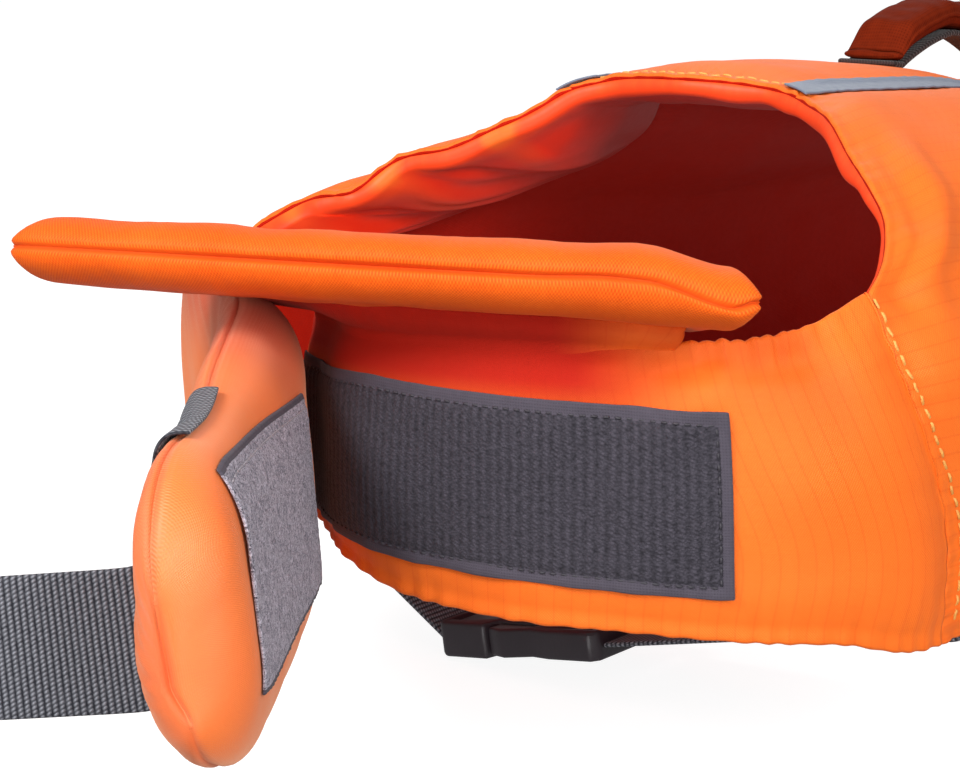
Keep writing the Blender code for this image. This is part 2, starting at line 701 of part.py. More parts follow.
def ribbon(name, centres, across, width, thickness, finish, columns=3):
    """Flat strap along a line of centre points, with its width direction at each point."""
    centres, across = np.asarray(centres, float), unit(np.asarray(across, float))
    run = np.gradient(centres, axis=0)
    out = unit(np.cross(run, across))
    spread = np.linspace(-width / 2, width / 2, columns)[None, :, None]
    middle = centres[:, None, :] + across[:, None, :] * spread
    return lofted(name, middle + out[:, None] * thickness / 2, middle - out[:, None] * thickness / 2, finish)


def place(points, centre, along, across, out):
    points = np.asarray(points, float)
    return centre + points[:, :1] * along + points[:, 1:2] * across + points[:, 2:] * out


def plate(name, outline, frame, thickness, finish):
    """Plastic plate: an outline in the frame's plane, with thickness and rounded edges."""
    mesh = bpy.data.meshes.new(name)
    shape = bmesh.new()
    centre, along, across, out = frame
    count = len(outline)
    for level in (-0.5, 0.5):
        ring = np.column_stack([np.array(outline), np.full(count, level * thickness)])
        for point in place(ring, centre, along, across, out):
            shape.verts.new(tuple(point))
    shape.verts.ensure_lookup_table()
    low, high = shape.verts[:count], shape.verts[count:2 * count]
    shape.faces.new(low[::-1])
    shape.faces.new(high)
    for i in range(count):
        j = (i + 1) % count
        shape.faces.new((low[i], low[j], high[j], high[i]))
    bmesh.ops.recalc_face_normals(shape, faces=shape.faces)
    if shape.calc_volume(signed=True) < 0:
        bmesh.ops.reverse_faces(shape, faces=shape.faces)
    shape.to_mesh(mesh)
    shape.free()
    mesh.materials.append(finish)
    made = bpy.data.objects.new(name, mesh)
    bpy.context.collection.objects.link(made)
    round_edges = made.modifiers.new("round", "BEVEL")
    round_edges.width = BUCKLE_EDGE
    round_edges.segments = 1
    round_edges.limit_method = "ANGLE"
    round_edges.angle_limit = math.radians(50)
    return made


def mirrored(points):
    """Closed outline from its half with positive y, listed along x."""
    return [(x, y) for x, y in points] + [(x, -y) for x, y in reversed(points)]


def housing_outline():
    end, wide = BUCKLE_LENGTH / 2, BUCKLE_WIDTH / 2
    corner = wide - BUCKLE_CORNER
    return mirrored([(-end, corner), (-end + BUCKLE_CORNER, wide), *((x, wide - y) for x, y in HOUSING_WAIST)])


def prong_outline():
    end, wide = BUCKLE_LENGTH / 2, BUCKLE_WIDTH / 2
    corner = wide - BUCKLE_CORNER
    return mirrored([*((x, wide - y) for x, y in PRONG_SIDE), (end - BUCKLE_CORNER, wide), (end, corner)])


def buckle_housing(name, frame, finish):
    return plate(name, housing_outline(), frame, BUCKLE_THICKNESS, finish)


def buckle_prongs(name, frame, finish):
    return plate(name, prong_outline(), frame, BUCKLE_THICKNESS * PRONG_SHARE, finish)


def webbing_sheet(name, middle, finish):
    """Webbing along a grid of middle points."""
    out = unit(np.cross(np.gradient(middle, axis=0), np.gradient(middle, axis=1)))
    return lofted(name, middle + out * WEBBING / 2, middle - out * WEBBING / 2, finish)


def belly_half(name, side, y, stop, finish):
    """Half of a belly strap: sewn to a side panel's lower edge, then straight to the buckle."""
    spread = np.linspace(-WEBBING_WIDTH / 2, WEBBING_WIDTH / 2, 5)
    angles, ys = np.meshgrid(side * np.linspace(*STRAP_SEWN, 5), y + spread, indexing="ij")
    sewn = body_outer(angles, ys, np.full_like(ys, REST_GAP + WEBBING / 2))
    sewn[..., 1] = ys
    last = sewn[-1]
    onward = unit(sewn[-1] - sewn[-2])
    target = stop + np.stack([spread * 0, spread, spread * 0], axis=-1)
    share = np.array([0.02, 0.045, 0.08, 0.13, 0.2, 0.32, 0.5, 0.75, 1.0])[:, None, None]
    line = last + (target - last) * share
    reach = share * np.linalg.norm(target - last, axis=-1)[:, None] / STRAP_TURN
    hang = onward * STRAP_HANG * reach * np.exp(1 - reach) * (1 - share)
    webbing_sheet(name, np.concatenate([sewn, line + hang]), finish)


def belly_strap(label, y, webbing, plastic):
    """Free strap under the belly, closed by a buckle to the dog's right of its middle."""
    ends = [np.array([x, y, z]) for x, z in BUCKLE_ENDS]
    along = unit(ends[0] - ends[1])
    across = np.array([0.0, 1.0, 0.0])
    out = unit(np.cross(along, across))
    frame = ((ends[0] + ends[1]) / 2, along, across, -out * np.sign(out[2]))
    buckle_housing(label + "_buckle_housing", frame, plastic)
    buckle_prongs(label + "_buckle_prongs", frame, plastic)
    belly_half(label + "_strap_left", 1, y, ends[0] + along * REST_GAP, webbing)
    belly_half(label + "_strap_right", -1, y, ends[1] - along * REST_GAP, webbing)


def neck_strap(webbing, plastic):
    """Webbing sewn to the right flap's outer face, pulled out to the dog's right."""
    sewn = np.linspace(NECK_STRAP_SEWN[0], NECK_STRAP_SEWN[1], 5)
    along, rise = flap_place(sewn, np.full_like(sewn, NECK_STRAP_Z))
    line = flap_sides(along, rise, lift_out=REST_GAP + WEBBING / 2)[0]
    line[:, 2] = NECK_STRAP_Z
    start, run = line[-1], unit((line[-1] - line[-2]) * [1, 1, 0])
    pull = unit(np.array([*NECK_STRAP_PULL, 0.0]))
    turn = [start + run * NECK_STRAP_BEND * math.sin(a) + pull * NECK_STRAP_BEND * (1 - math.cos(a))
            for a in np.radians((22, 45, 68, 90))]
    free = [turn[-1] + pull * s for s in np.linspace(0.008, NECK_STRAP_FREE, 9)]
    centres = np.vstack([line, turn, free])
    fall = np.concatenate([np.zeros(len(line)), np.linspace(0, NECK_STRAP_DROOP, len(turn) + len(free))])
    centres[:, 2] -= fall
    upper = flap_sides(along, flap_place(sewn, np.full_like(sewn, NECK_STRAP_Z + 0.01))[1])[0]
    lower = flap_sides(along, rise)[0]
    lean = unit(upper - lower)[-1]
    upright = np.linspace(0, 1, len(turn) + len(free))[:, None]
    turned = lean * (1 - upright) + np.array([0, 0, 1.0]) * upright
    across = np.vstack([np.tile(lean, (len(line), 1)), turned])
    ribbon("neck_strap", centres, across, WEBBING_WIDTH, WEBBING, webbing)
    centre = centres[-1] + pull * (REST_GAP + BUCKLE_LENGTH / 2)
    frame = (centre, -pull, np.array([0.0, 0.0, 1.0]), unit(np.cross(-pull, [0.0, 0.0, 1.0])))
    buckle_prongs("neck_buckle_prongs", frame, plastic)


def neck_anchor(webbing, plastic):
    """Mating buckle half on a webbing tab on the dog's left side."""
    angle = np.array(NECK_BUCKLE_ANGLE)
    mid = body_point(angle, np.array(ANCHOR_Y))
    out = unit(outward(angle, np.array(ANCHOR_Y)) * [1, 0, 1])
    lift = EDGE_HALF + BACK_PUFF_OUT + BUCKLE_CLEAR + BUCKLE_THICKNESS / 2
    along = np.array([0.0, -1.0, 0.0])
    across = unit(np.cross(out, along))
    frame = (mid + out * lift, along, across, out)
    buckle_housing("neck_buckle_housing", frame, plastic)
    end = ANCHOR_Y + BUCKLE_LENGTH / 2 + REST_GAP
    ys = np.array([0.0, 0.006, 0.012, 0.018, 0.030, 0.050]) + end
    base = body_point(np.full_like(ys, angle), ys)
    rise = np.interp(ys - end, [0, 0.018], [lift, EDGE_HALF + BACK_PUFF_OUT + REST_GAP + WEBBING / 2])
    centres = base + out * rise[:, None]
    ribbon("neck_anchor_tab", centres, np.tile(across, (len(ys), 1)), WEBBING_WIDTH, WEBBING, webbing, 5)


def strap_keeper(webbing):
    """Short upright webbing loop near the top of the right flap's outer face."""
    grid, rows = np.meshgrid(np.linspace(*KEEPER_FROM_TIP, 9), np.linspace(*KEEPER_Z, 5))
    along, rise = flap_place(grid, rows)
    bow = np.sin((grid - KEEPER_FROM_TIP[0]) / (KEEPER_FROM_TIP[1] - KEEPER_FROM_TIP[0]) * math.pi)
    low = TAPE_GAP + KEEPER_BOW * bow
    outer = flap_sides(along, rise, lift_out=low + WEBBING)[0]
    inner = flap_sides(along, rise, lift_out=low)[0]
    return lofted("strap_keeper", outer, inner, webbing)


def handle_line(start, end, count, lift):
    """Centre line of the handle between two distances along the spine."""
    ys = np.linspace(start, end, count)
    turn = np.clip((ys - HANDLE_FRONT) / (HANDLE_REAR - HANDLE_FRONT), 0, 1)
    rise = np.minimum(np.sin(turn * math.pi) ** 0.9 / HANDLE_FLAT, 1.0) * HANDLE_RISE
    low, high = section(HANDLE_FRONT, "top"), section(HANDLE_REAR, "top")
    ground = low + (high - low) * turn
    seat = EDGE_HALF + BACK_PUFF_OUT + REST_GAP + HANDLE_THICKNESS / 2
    z = np.maximum(ground + seat + rise, section(ys, "top") + seat)
    slope = np.gradient(z, ys)
    run = np.hypot(1.0, slope)
    return np.stack([ys * 0, ys - lift * slope / run, z + lift / run], axis=-1)


def padded_roll(name, centres, across, finish):
    """Grip of padded cloth along a line, flat in its middle and rounded towards its sides."""
    section_rows = np.array(GRIP_SECTION)
    out = unit(np.cross(np.gradient(centres, axis=0), across))
    out = out * np.sign(out[:, 2:])
    middle = centres[:, None] + across[:, None] * (section_rows[:, 0] * GRIP_WIDTH / 2)[None, :, None]
    steps = np.concatenate([[0.0], np.cumsum(np.linalg.norm(np.diff(centres, axis=0), axis=1))])
    taper = smoothstep(np.minimum(steps, steps[-1] - steps), 0.0, GRIP_TAPER)
    full = GRIP_THICKNESS * (GRIP_END_SHARE + (1 - GRIP_END_SHARE) * taper)
    high = out[:, None] * (full[:, None] * section_rows[None, :, 1])[..., None]
    sink = out[:, None] * (GRIP_THICKNESS / 2)
    low_share = (1 - section_rows[:, 1]) / 2
    low = out[:, None] * (full[:, None] * low_share[None, :])[..., None]
    return lofted(name, middle - sink + low + high, middle - sink + low, finish)


def handle(webbing, rust):
    line = handle_line(HANDLE_FRONT - HANDLE_FOOT, HANDLE_REAR + HANDLE_FOOT, 34, 0.0)
    across = np.tile([1.0, 0.0, 0.0], (len(line), 1))
    ribbon("handle_webbing", line, across, HANDLE_WIDTH, HANDLE_THICKNESS, webbing)
    lift = HANDLE_THICKNESS / 2 + REST_GAP + GRIP_THICKNESS / 2
    grip = handle_line(HANDLE_FRONT + GRIP_ENDS, HANDLE_REAR - GRIP_ENDS, 20, lift)
    padded_roll("handle_grip", grip, across[: len(grip)], rust)


def build():
    clear_scene()
    orange = material("ripstop_orange", ORANGE, 0.55)
    lining = material("lining_red", RED_LINING, 0.6)
    silver = material("reflective_silver", SILVER, 0.35)
    hook = material("hook_grey", HOOK_GREY, 0.7)
    loop = material("loop_grey", LOOP_GREY, 0.95)
    webbing = material("webbing_grey", STRAP_GREY, 0.6)
    rust = material("grip_rust", RUST, 0.7)
    plastic = material("buckle_black", BLACK, 0.35)
    back_and_sides(orange)
    neck_facing(lining)
    reflective_strip("reflective_strip_left", 1, silver)
    reflective_strip("reflective_strip_right", -1, silver)
    chest_flap_left(orange)
    hook_tape(hook)
    chest_flap_right(orange)
    loop_tape(loop)
    chin_float(orange)
    float_hinge(orange)
    belly_strap("front", FRONT_STRAP_Y, webbing, plastic)
    belly_strap("rear", REAR_STRAP_Y, webbing, plastic)
    neck_strap(webbing, plastic)
    neck_anchor(webbing, plastic)
    strap_keeper(webbing)
    handle(webbing, rust)


build()
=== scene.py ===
import math

import bmesh
import bpy
import numpy as np
from mathutils import Matrix, Vector


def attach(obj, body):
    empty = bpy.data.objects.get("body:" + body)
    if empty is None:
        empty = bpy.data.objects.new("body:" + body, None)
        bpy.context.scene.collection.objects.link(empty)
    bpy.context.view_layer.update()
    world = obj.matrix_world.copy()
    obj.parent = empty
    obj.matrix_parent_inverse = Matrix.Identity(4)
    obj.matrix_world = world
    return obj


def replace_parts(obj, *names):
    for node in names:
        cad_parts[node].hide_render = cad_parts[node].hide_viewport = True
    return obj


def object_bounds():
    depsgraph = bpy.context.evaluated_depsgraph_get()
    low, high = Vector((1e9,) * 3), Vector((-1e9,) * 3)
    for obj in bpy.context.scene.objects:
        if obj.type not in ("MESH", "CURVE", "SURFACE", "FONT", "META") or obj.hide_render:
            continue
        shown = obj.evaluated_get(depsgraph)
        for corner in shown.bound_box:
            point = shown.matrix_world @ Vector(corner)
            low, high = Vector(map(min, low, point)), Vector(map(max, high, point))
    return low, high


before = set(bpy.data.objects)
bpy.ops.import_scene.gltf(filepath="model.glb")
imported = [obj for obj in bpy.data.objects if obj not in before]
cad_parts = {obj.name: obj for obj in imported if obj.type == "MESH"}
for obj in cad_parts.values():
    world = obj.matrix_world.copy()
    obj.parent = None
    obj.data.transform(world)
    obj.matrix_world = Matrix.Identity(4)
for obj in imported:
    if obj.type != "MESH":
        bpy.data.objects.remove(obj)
cadLow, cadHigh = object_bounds()
print("frame loaded")


def smoothRow(rows, column, key):
    # smooth value of one column of a table at each key; the keys are the table's first column
    table = np.array(rows, dtype=float)
    x, y = table[:, 0], table[:, column]
    slopes = np.gradient(y, x)
    key = np.clip(key, x[0], x[-1])
    i = np.clip(np.searchsorted(x, key) - 1, 0, len(x) - 2)
    width = x[i + 1] - x[i]
    s = (key - x[i]) / width
    start = (1 + 2 * s) * (1 - s) ** 2 * y[i] + s * (1 - s) ** 2 * width * slopes[i]
    end = s * s * (3 - 2 * s) * y[i + 1] + s * s * (s - 1) * width * slopes[i + 1]
    return start + end


def smoothStep(value, low, high):
    s = np.clip((value - low) / (high - low), 0.0, 1.0)
    return s * s * (3 - 2 * s)


def within(value, rise, start, end, fall):
    # grows from 0 to 1 between the first two places and back between the last two
    return smoothStep(value, rise, start) * (1 - smoothStep(value, end, fall))


def unit(vectors):
    return vectors / np.maximum(np.linalg.norm(vectors, axis=-1, keepdims=True), 1e-12)


def bell(distance, width):
    # 1 in the middle of a fold and 0 far from it
    return np.exp(-((distance / width) ** 2))


def between(low, high, share):
    return low + (high - low) * share


def dome(distance, reach):
    s = np.clip(distance / reach, 0, 1)
    return np.sqrt(1 - (1 - s) ** 2)


def paired(u, v):
    return np.broadcast_arrays(np.asarray(u, float), np.asarray(v, float))


def stepsAlong(points):
    # metres from the first point of a row to each of its points
    return np.concatenate([[0.0], np.cumsum(np.linalg.norm(np.diff(points, axis=0), axis=1))])


def gridOut(points):
    # unit direction out of a grid of points at each of them
    return unit(np.cross(np.gradient(points, axis=0), np.gradient(points, axis=1)))


def turned(out, towards):
    # the same directions, flipped where they point away from the other ones
    return out * np.sign((out * towards).sum(axis=-1, keepdims=True))


def softNoise(u, v, size, seed, waves=9):
    # smooth uneven ground, about -1 to 1
    draw = np.random.default_rng(seed)
    total = 0.0
    for _ in range(waves):
        turn, phase, scale = draw.uniform(0, math.pi), draw.uniform(0, 6.28), draw.uniform(0.6, 1.5)
        total = total + np.sin((u * math.cos(turn) + v * math.sin(turn)) * 6.283 / (size * scale) + phase)
    return total / math.sqrt(waves) * 0.8


def gathers(s, pitch, seed):
    # uneven waves along a seam, -1 to 1
    draw = np.random.default_rng(seed)
    a, b, c = draw.uniform(0, 6.28, 3)
    bend = 1.1 * np.sin(s / pitch * 1.1 + a) + 0.7 * np.sin(s / pitch * 2.3 + b)
    return np.sin(s * 6.283 / pitch + bend) * (0.75 + 0.25 * np.sin(s / pitch * 1.7 + c))


def spread(length, step, fine=None, reach=0.02):
    # places 0 to length, closer together near both ends
    fine = fine or step / 2
    start = np.arange(0, reach, fine)
    middle = np.linspace(reach, length - reach, max(int((length - 2 * reach) / step), 1) + 1)
    return np.concatenate([start, middle, length - start[::-1]])


def crowded(length, reach, middle, turns):
    # places 0 to length, much closer together towards both ends, as on a rounded edge
    turn = np.concatenate([[0, 0.02, 0.045, 0.075], np.linspace(0.11, math.pi / 2, turns)])
    end = reach * (1 - np.cos(turn))
    return np.concatenate([end, np.linspace(reach, length - reach, middle)[1:-1], length - end[::-1]])


class Wire:
    def __init__(self, paint, socket):
        self.paint = paint
        self.socket = socket

    def __add__(self, other):
        return self.paint.math("ADD", self, other)

    def __radd__(self, other):
        return self.paint.math("ADD", other, self)

    def __sub__(self, other):
        return self.paint.math("SUBTRACT", self, other)

    def __rsub__(self, other):
        return self.paint.math("SUBTRACT", other, self)

    def __mul__(self, other):
        return self.paint.math("MULTIPLY", self, other)

    def __truediv__(self, other):
        return self.paint.math("DIVIDE", self, other)


class Paint:
    def __init__(self, name):
        self.material = bpy.data.materials.new(name)
        self.material.use_nodes = True
        self.tree = self.material.node_tree
        self.shader = self.tree.nodes["Principled BSDF"]

    def node(self, kind, settings=(), inputs=(), output=0):
        made = self.tree.nodes.new("ShaderNode" + kind)
        for key, value in dict(settings).items():
            if key == "stops":
                ramp = made.color_ramp
                while len(ramp.elements) < len(value):
                    ramp.elements.new(0.5)
                for element, (place, colour) in zip(ramp.elements, value):
                    element.position = place
                    element.color = (*colour, 1.0)
            else:
                setattr(made, key, value)
        for key, value in dict(inputs).items():
            self.plug(made.inputs[key], value)
        return Wire(self, made.outputs[output])

    def plug(self, socket, value):
        if isinstance(value, Wire):
            self.tree.links.new(value.socket, socket)
        elif isinstance(value, tuple) and len(value) == 3 and socket.type == "RGBA":
            socket.default_value = (*value, 1.0)
        else:
            socket.default_value = value

    def math(self, operation, first, second=0.0):
        return self.node("Math", {"operation": operation}, {0: first, 1: second})

    def mix(self, factor, first, second):
        # first and second are colours
        settings = {"data_type": "RGBA"}
        return self.node("Mix", settings, {0: factor, 6: first, 7: second}, output=2)

    def clothPlace(self):
        # metres across and along the piece's own cloth
        place = self.node("UVMap", {"uv_map": "cloth"})
        apart = {"Vector": place}
        return self.node("SeparateXYZ", (), apart, 0), self.node("SeparateXYZ", (), apart, 1), place

    def noise(self, place, scale, detail=2.0, distortion=0.0):
        values = {"Vector": place, "Scale": scale, "Detail": detail, "Distortion": distortion}
        return self.node("TexNoise", (), values)

    # painted shade, 0 to 1, read from the piece's points
    def dye(self):
        return self.node("Attribute", {"attribute_name": "dye"}, (), 2)

    def ownPlace(self):
        return self.node("TexCoord", output=3)

    def bump(self, height, distance, strength=1.0):
        return self.node("Bump", (), {"Height": height, "Distance": distance, "Strength": strength})

    def finish(self, **sockets):
        for key, value in sockets.items():
            self.plug(self.shader.inputs[key.replace("_", " ")], value)
        return self.material

    def wave(self, value, pitch, phase=0.0):
        # 0 to 1, one wave each pitch
        return self.math("SINE", value * (2 * math.pi / pitch) + phase) * 0.5 + 0.5

    def line(self, value, pitch, width):
        # 1 on a thin line each pitch, 0 between
        place = self.math("ABSOLUTE", self.math("FRACT", value / pitch) - 0.5)
        return self.math("GREATER_THAN", place, 0.5 - width / pitch / 2)


# shaded is the deep red painted where shade falls
clothLook = {"ripstop": 0.0048, "ripWidth": 0.00050, "shaded": (0.43, 0.010, 0.001)}


def ripstopCloth(name, light, deep, lines=(0.20, 0.04), roughness=0.52, sheen=0.16, relief=0.00018, check=0.36,
                 shine=0.22, weave=0.00076):
    # woven nylon; lines holds the strength of the thicker threads each way
    paint = Paint(name)
    u, v, place = paint.clothPlace()
    weft, warp = paint.wave(u, weave), paint.wave(v, weave)
    squares = weft * warp + (1 - weft) * (1 - warp)
    uneven = paint.noise(place, 42.0, 3.0)
    grain = paint.noise(place, 900.0, 1.0)
    tone, height = squares * check + uneven * 0.42 + grain * 0.24, squares * 0.55 + grain * 0.3
    for way, strength in zip((u, v), lines):
        if strength:
            thread = paint.line(way, clothLook["ripstop"], clothLook["ripWidth"])
            tone, height = tone + thread * strength, height - thread * (strength * 1.6)
    # painted shade: mixed towards deep red, and made rougher, where the painted shade value is high
    shaded = paint.dye()
    woven = paint.mix(paint.math("MINIMUM", tone, 1.0), light, deep)
    return paint.finish(Base_Color=paint.mix(shaded, woven, clothLook["shaded"]),
                        Roughness=roughness + uneven * 0.12 + shaded * 0.3, Normal=paint.bump(height, relief, 0.8),
                        Sheen_Weight=sheen, Sheen_Roughness=0.45, Sheen_Tint=(1.0, 0.62, 0.42),
                        Specular_IOR_Level=shine)


def webbingCloth(name, light, deep):
    # ribs across the strap, each of small slanted bits
    paint = Paint(name)
    u, v, place = paint.clothPlace()
    rib, bits = paint.wave(v, 0.00190), paint.wave(u + v * 0.45, 0.00122)
    grain = paint.noise(place, 700.0)
    tone = paint.math("POWER", rib, 0.8) * (0.24 + bits * 0.80) + (grain - 0.5) * 0.5
    return paint.finish(Base_Color=paint.mix(tone, deep, light), Roughness=0.66 + grain * 0.2,
                        Normal=paint.bump(rib * 0.6 + bits * rib * 0.6, 0.00034, 0.9), Sheen_Weight=0.12,
                        Sheen_Roughness=0.5, Specular_IOR_Level=0.3)


def hookCloth(name):
    paint = Paint(name)
    u, v, place = paint.clothPlace()
    row, bits = paint.wave(u, 0.00310), paint.wave(v + u * 0.4, 0.00125)
    knot = paint.node("TexVoronoi", {"feature": "F1"}, {"Vector": place, "Scale": 1350.0})
    grain = paint.noise(place, 620.0)
    tone = row * (0.10 + bits * 0.22) + (1 - knot) * 0.30 + (grain - 0.30) * 0.75
    colour = paint.mix(tone, (0.009, 0.008, 0.012), (0.083, 0.074, 0.096))
    return paint.finish(Base_Color=colour, Roughness=0.78, Normal=paint.bump(row * 0.4 + knot * 0.6, 0.0006, 0.9),
                        Sheen_Weight=0.06, Specular_IOR_Level=0.25)


def loopCloth(name):
    paint = Paint(name)
    place = paint.clothPlace()[2]
    bent = paint.noise(place, 260.0, 3.0, 1.5)
    fuzz = paint.noise(place, 1050.0, 3.0, 2.0)
    tone = paint.math("MINIMUM", paint.math("MAXIMUM", (fuzz * 0.75 + bent * 0.25 - 0.39) * 4.4, 0.0), 1.0)
    colour = paint.mix(tone, (0.050, 0.044, 0.060), (0.640, 0.590, 0.680))
    return paint.finish(Base_Color=colour, Roughness=0.95, Normal=paint.bump(fuzz * 0.7 + bent * 0.6, 0.0011, 1.0),
                        Sheen_Weight=0.3, Sheen_Roughness=0.6, Sheen_Tint=(0.8, 0.78, 0.9),
                        Specular_IOR_Level=0.15)


def plainCloth(name, light, deep, weave=0.0007, roughness=0.55, sheen=0.08, shine=0.16):
    paint = Paint(name)
    u, v, place = paint.clothPlace()
    check = paint.wave(u, weave) * paint.wave(v, weave)
    grain = paint.noise(place, 300.0, 3.0)
    colour = paint.mix(check * 0.4 + grain * 0.6, light, deep)
    return paint.finish(Base_Color=colour, Roughness=roughness + grain * 0.1,
                        Normal=paint.bump(check * 0.6 + grain * 0.4, 0.00018, 0.8),
                        Sheen_Weight=sheen, Sheen_Roughness=0.5, Specular_IOR_Level=shine)


def facingCloth(name, stops):
    # its colour goes from the rim's to the lining's by the painted shade value
    paint = Paint(name)
    place = paint.clothPlace()[2]
    grain = paint.noise(place, 300.0, 3.0)
    shaded = paint.dye()
    colour = paint.node("ValToRGB", {"stops": stops}, {"Fac": shaded + (grain - 0.5) * 0.10})
    return paint.finish(Base_Color=colour, Roughness=0.42 + grain * 0.08, Normal=paint.bump(grain, 0.0002, 0.7),
                        Sheen_Weight=0.06, Sheen_Roughness=0.45, Sheen_Tint=(1.0, 0.45, 0.35),
                        Specular_IOR_Level=0.26)


def mouldedPlastic(name, colour):
    paint = Paint(name)
    place = paint.ownPlace()
    grain = paint.noise(place, 900.0)
    patch = paint.noise(place, 90.0)
    tone = paint.mix(patch, colour, tuple(c * 1.7 for c in colour))
    return paint.finish(Base_Color=tone, Roughness=0.34 + patch * 0.16, Normal=paint.bump(grain, 0.00012, 0.6))


def threadFinish(name, colour):
    paint = Paint(name)
    place = paint.ownPlace()
    twist = paint.noise(place, 1500.0)
    return paint.finish(Base_Color=paint.mix(twist, colour, tuple(c * 0.55 for c in colour)), Roughness=0.55,
                        Normal=paint.bump(twist, 0.0002, 0.8))


shellOrange = ripstopCloth("shell_ripstop", (1.0, 0.210, 0.018), (0.88, 0.118, 0.005), sheen=0.03, shine=0.28)
floatOrange = ripstopCloth("float_satin", (1.0, 0.205, 0.014), (0.72, 0.058, 0.001), (0, 0), 0.50, 0.06, 0.00020,
                           0.60, 0.14, 0.00084)
flapOrange = ripstopCloth("flap_plain_weave", (1.0, 0.225, 0.020), (0.90, 0.130, 0.006), (0, 0), 0.50, 0.50,
                          shine=1.0)
liningRed = plainCloth("lining_red_weave", (0.60, 0.014, 0.003), (0.42, 0.008, 0.002), sheen=0.02, shine=0.06)
# facing colours: the rim's orange, a bright red painted as the glow of light through the cloth, and a dark red,
# partly the lining's own, painted as the shade deep inside the neck
facingRed = facingCloth("facing_red_weave", ((0.0, (1.0, 0.160, 0.018)), (0.16, (1.0, 0.070, 0.012)),
                                             (0.5, (0.92, 0.026, 0.004)), (1.0, (0.50, 0.011, 0.003))))
stripSilver = plainCloth("reflective_tape", (0.190, 0.225, 0.300), (0.130, 0.155, 0.215), 0.0011, 0.42, 0.05, 0.4)
hookGrey = hookCloth("hook_tape_rows")
loopGrey = loopCloth("loop_tape_nap")
strapGrey = webbingCloth("webbing_ribs", (0.300, 0.310, 0.350), (0.010, 0.011, 0.018))
handleDark = webbingCloth("handle_webbing_ribs", (0.060, 0.036, 0.034), (0.012, 0.008, 0.008))
gripRust = plainCloth("grip_cloth", (0.190, 0.018, 0.003), (0.080, 0.006, 0.001), 0.0011, 0.75, 0.0, 0.05)
buckleBlack = mouldedPlastic("buckle_moulding", (0.024, 0.018, 0.023))
threadOrange = threadFinish("thread_orange", (1.0, 0.47, 0.10))
threadGrey = threadFinish("thread_grey", (0.045, 0.040, 0.052))
threadPale = threadFinish("thread_pale", (0.42, 0.38, 0.42))
tapeEdgeGrey = plainCloth("tape_selvage", (0.085, 0.074, 0.096), (0.048, 0.041, 0.055), 0.0008, 0.7)
print("materials made")


bodySize = {"roundness": 2.3, "noseStart": -0.125, "noseLength": 0.098, "tuck": 0.300,
            "slump": 0.0130, "slumpAt": math.radians(-36), "slumpSpread": math.radians(22)}
sectionNames = ("y", "half", "top", "middle", "belly")
sectionRows = (
    (-0.125, 0.138, 0.008, -0.095, -0.172),
    (-0.078, 0.138, 0.009, -0.095, -0.172),
    (-0.046, 0.138, 0.0076, -0.095, -0.172),
    (-0.016, 0.138, 0.0063, -0.095, -0.172),
    (0.044, 0.139, 0.0030, -0.096, -0.173),
    (0.110, 0.140, -0.0075, -0.097, -0.174),
    (0.200, 0.138, -0.0105, -0.097, -0.174),
    (0.345, 0.128, -0.0140, -0.095, -0.166),
)
rimRows = ((0, -0.062), (12, -0.058), (20, -0.068), (27, -0.0815), (42, -0.1055), (50, -0.1150), (57, -0.1310),
           (61, -0.143))
shoulderRows = ((61, -0.143), (67, -0.143), (73, -0.142), (79, -0.139), (85, -0.135), (91, -0.129), (124, -0.126))
hemRows = ((0, 0.345), (30, 0.345), (70, 0.340), (100, 0.330), (124, 0.320))
neckEnd, stripAngle, lowAngle = math.radians(61), math.radians(16), math.radians(124)
panelSize = {"edgeHalf": 0.0012, "puffOut": 0.0034, "puffIn": 0.0068, "margin": 0.0036, "reach": 0.020,
             "arc": 0.138, "gap": 0.0004}


def section(y, name):
    return smoothRow(sectionRows, sectionNames.index(name), y)


def edgeAt(rows, angle):
    return smoothRow(rows, 1, np.degrees(np.abs(angle)))


def frontEdge(angle):
    return np.where(np.abs(angle) < neckEnd, edgeAt(rimRows, angle), edgeAt(shoulderRows, angle))


def neckRipple(angle, y):
    away = np.maximum(y - edgeAt(rimRows, angle), 0.0)
    depth = np.where(angle < 0, 0.0026, 0.0010) * bell(away, 0.016)
    depth = depth * smoothStep(np.abs(angle), math.radians(12), math.radians(20))
    depth = depth * (1 - smoothStep(np.abs(angle), math.radians(52), math.radians(60)))
    return depth * (np.sin(angle * 17.0) * 0.65 + np.sin(angle * 27.0 + 1.0) * 0.35)


def power(value, exponent):
    return np.sign(value) * np.abs(value) ** exponent


def bodyPoint(angle, y):
    angle, y = paired(angle, y)
    size = bodySize
    ahead = np.maximum(size["noseStart"] - y, 0) / size["noseLength"]
    shrink = np.sqrt(np.clip(1 - ahead ** 2, 0, 1))
    half, top, middle, belly = (section(y, name) for name in sectionNames[1:])
    across = power(np.sin(angle), 2 / size["roundness"])
    down = power(np.cos(angle), 2 / size["roundness"])
    tuck = smoothStep(y, size["noseStart"], size["noseStart"] + size["tuck"])
    side = np.where(down >= 0, across, np.sign(across) * (1 - tuck) + across * tuck)
    height = np.where(down >= 0, middle + (top - middle) * shrink * down, middle + (middle - belly) * down)
    slump = size["slump"] * bell(angle - size["slumpAt"], size["slumpSpread"])
    slump = slump * smoothStep(-angle, math.radians(8), math.radians(24))
    return np.stack([half * shrink * side, y, height - slump + neckRipple(angle, y)], axis=-1)


def normalsOf(surface, u, v, stepU=1e-3, stepV=1e-4):
    alongU = surface(u + stepU, v) - surface(u - stepU, v)
    alongV = surface(u, v + stepV) - surface(u, v - stepV)
    return unit(np.cross(alongU, alongV))


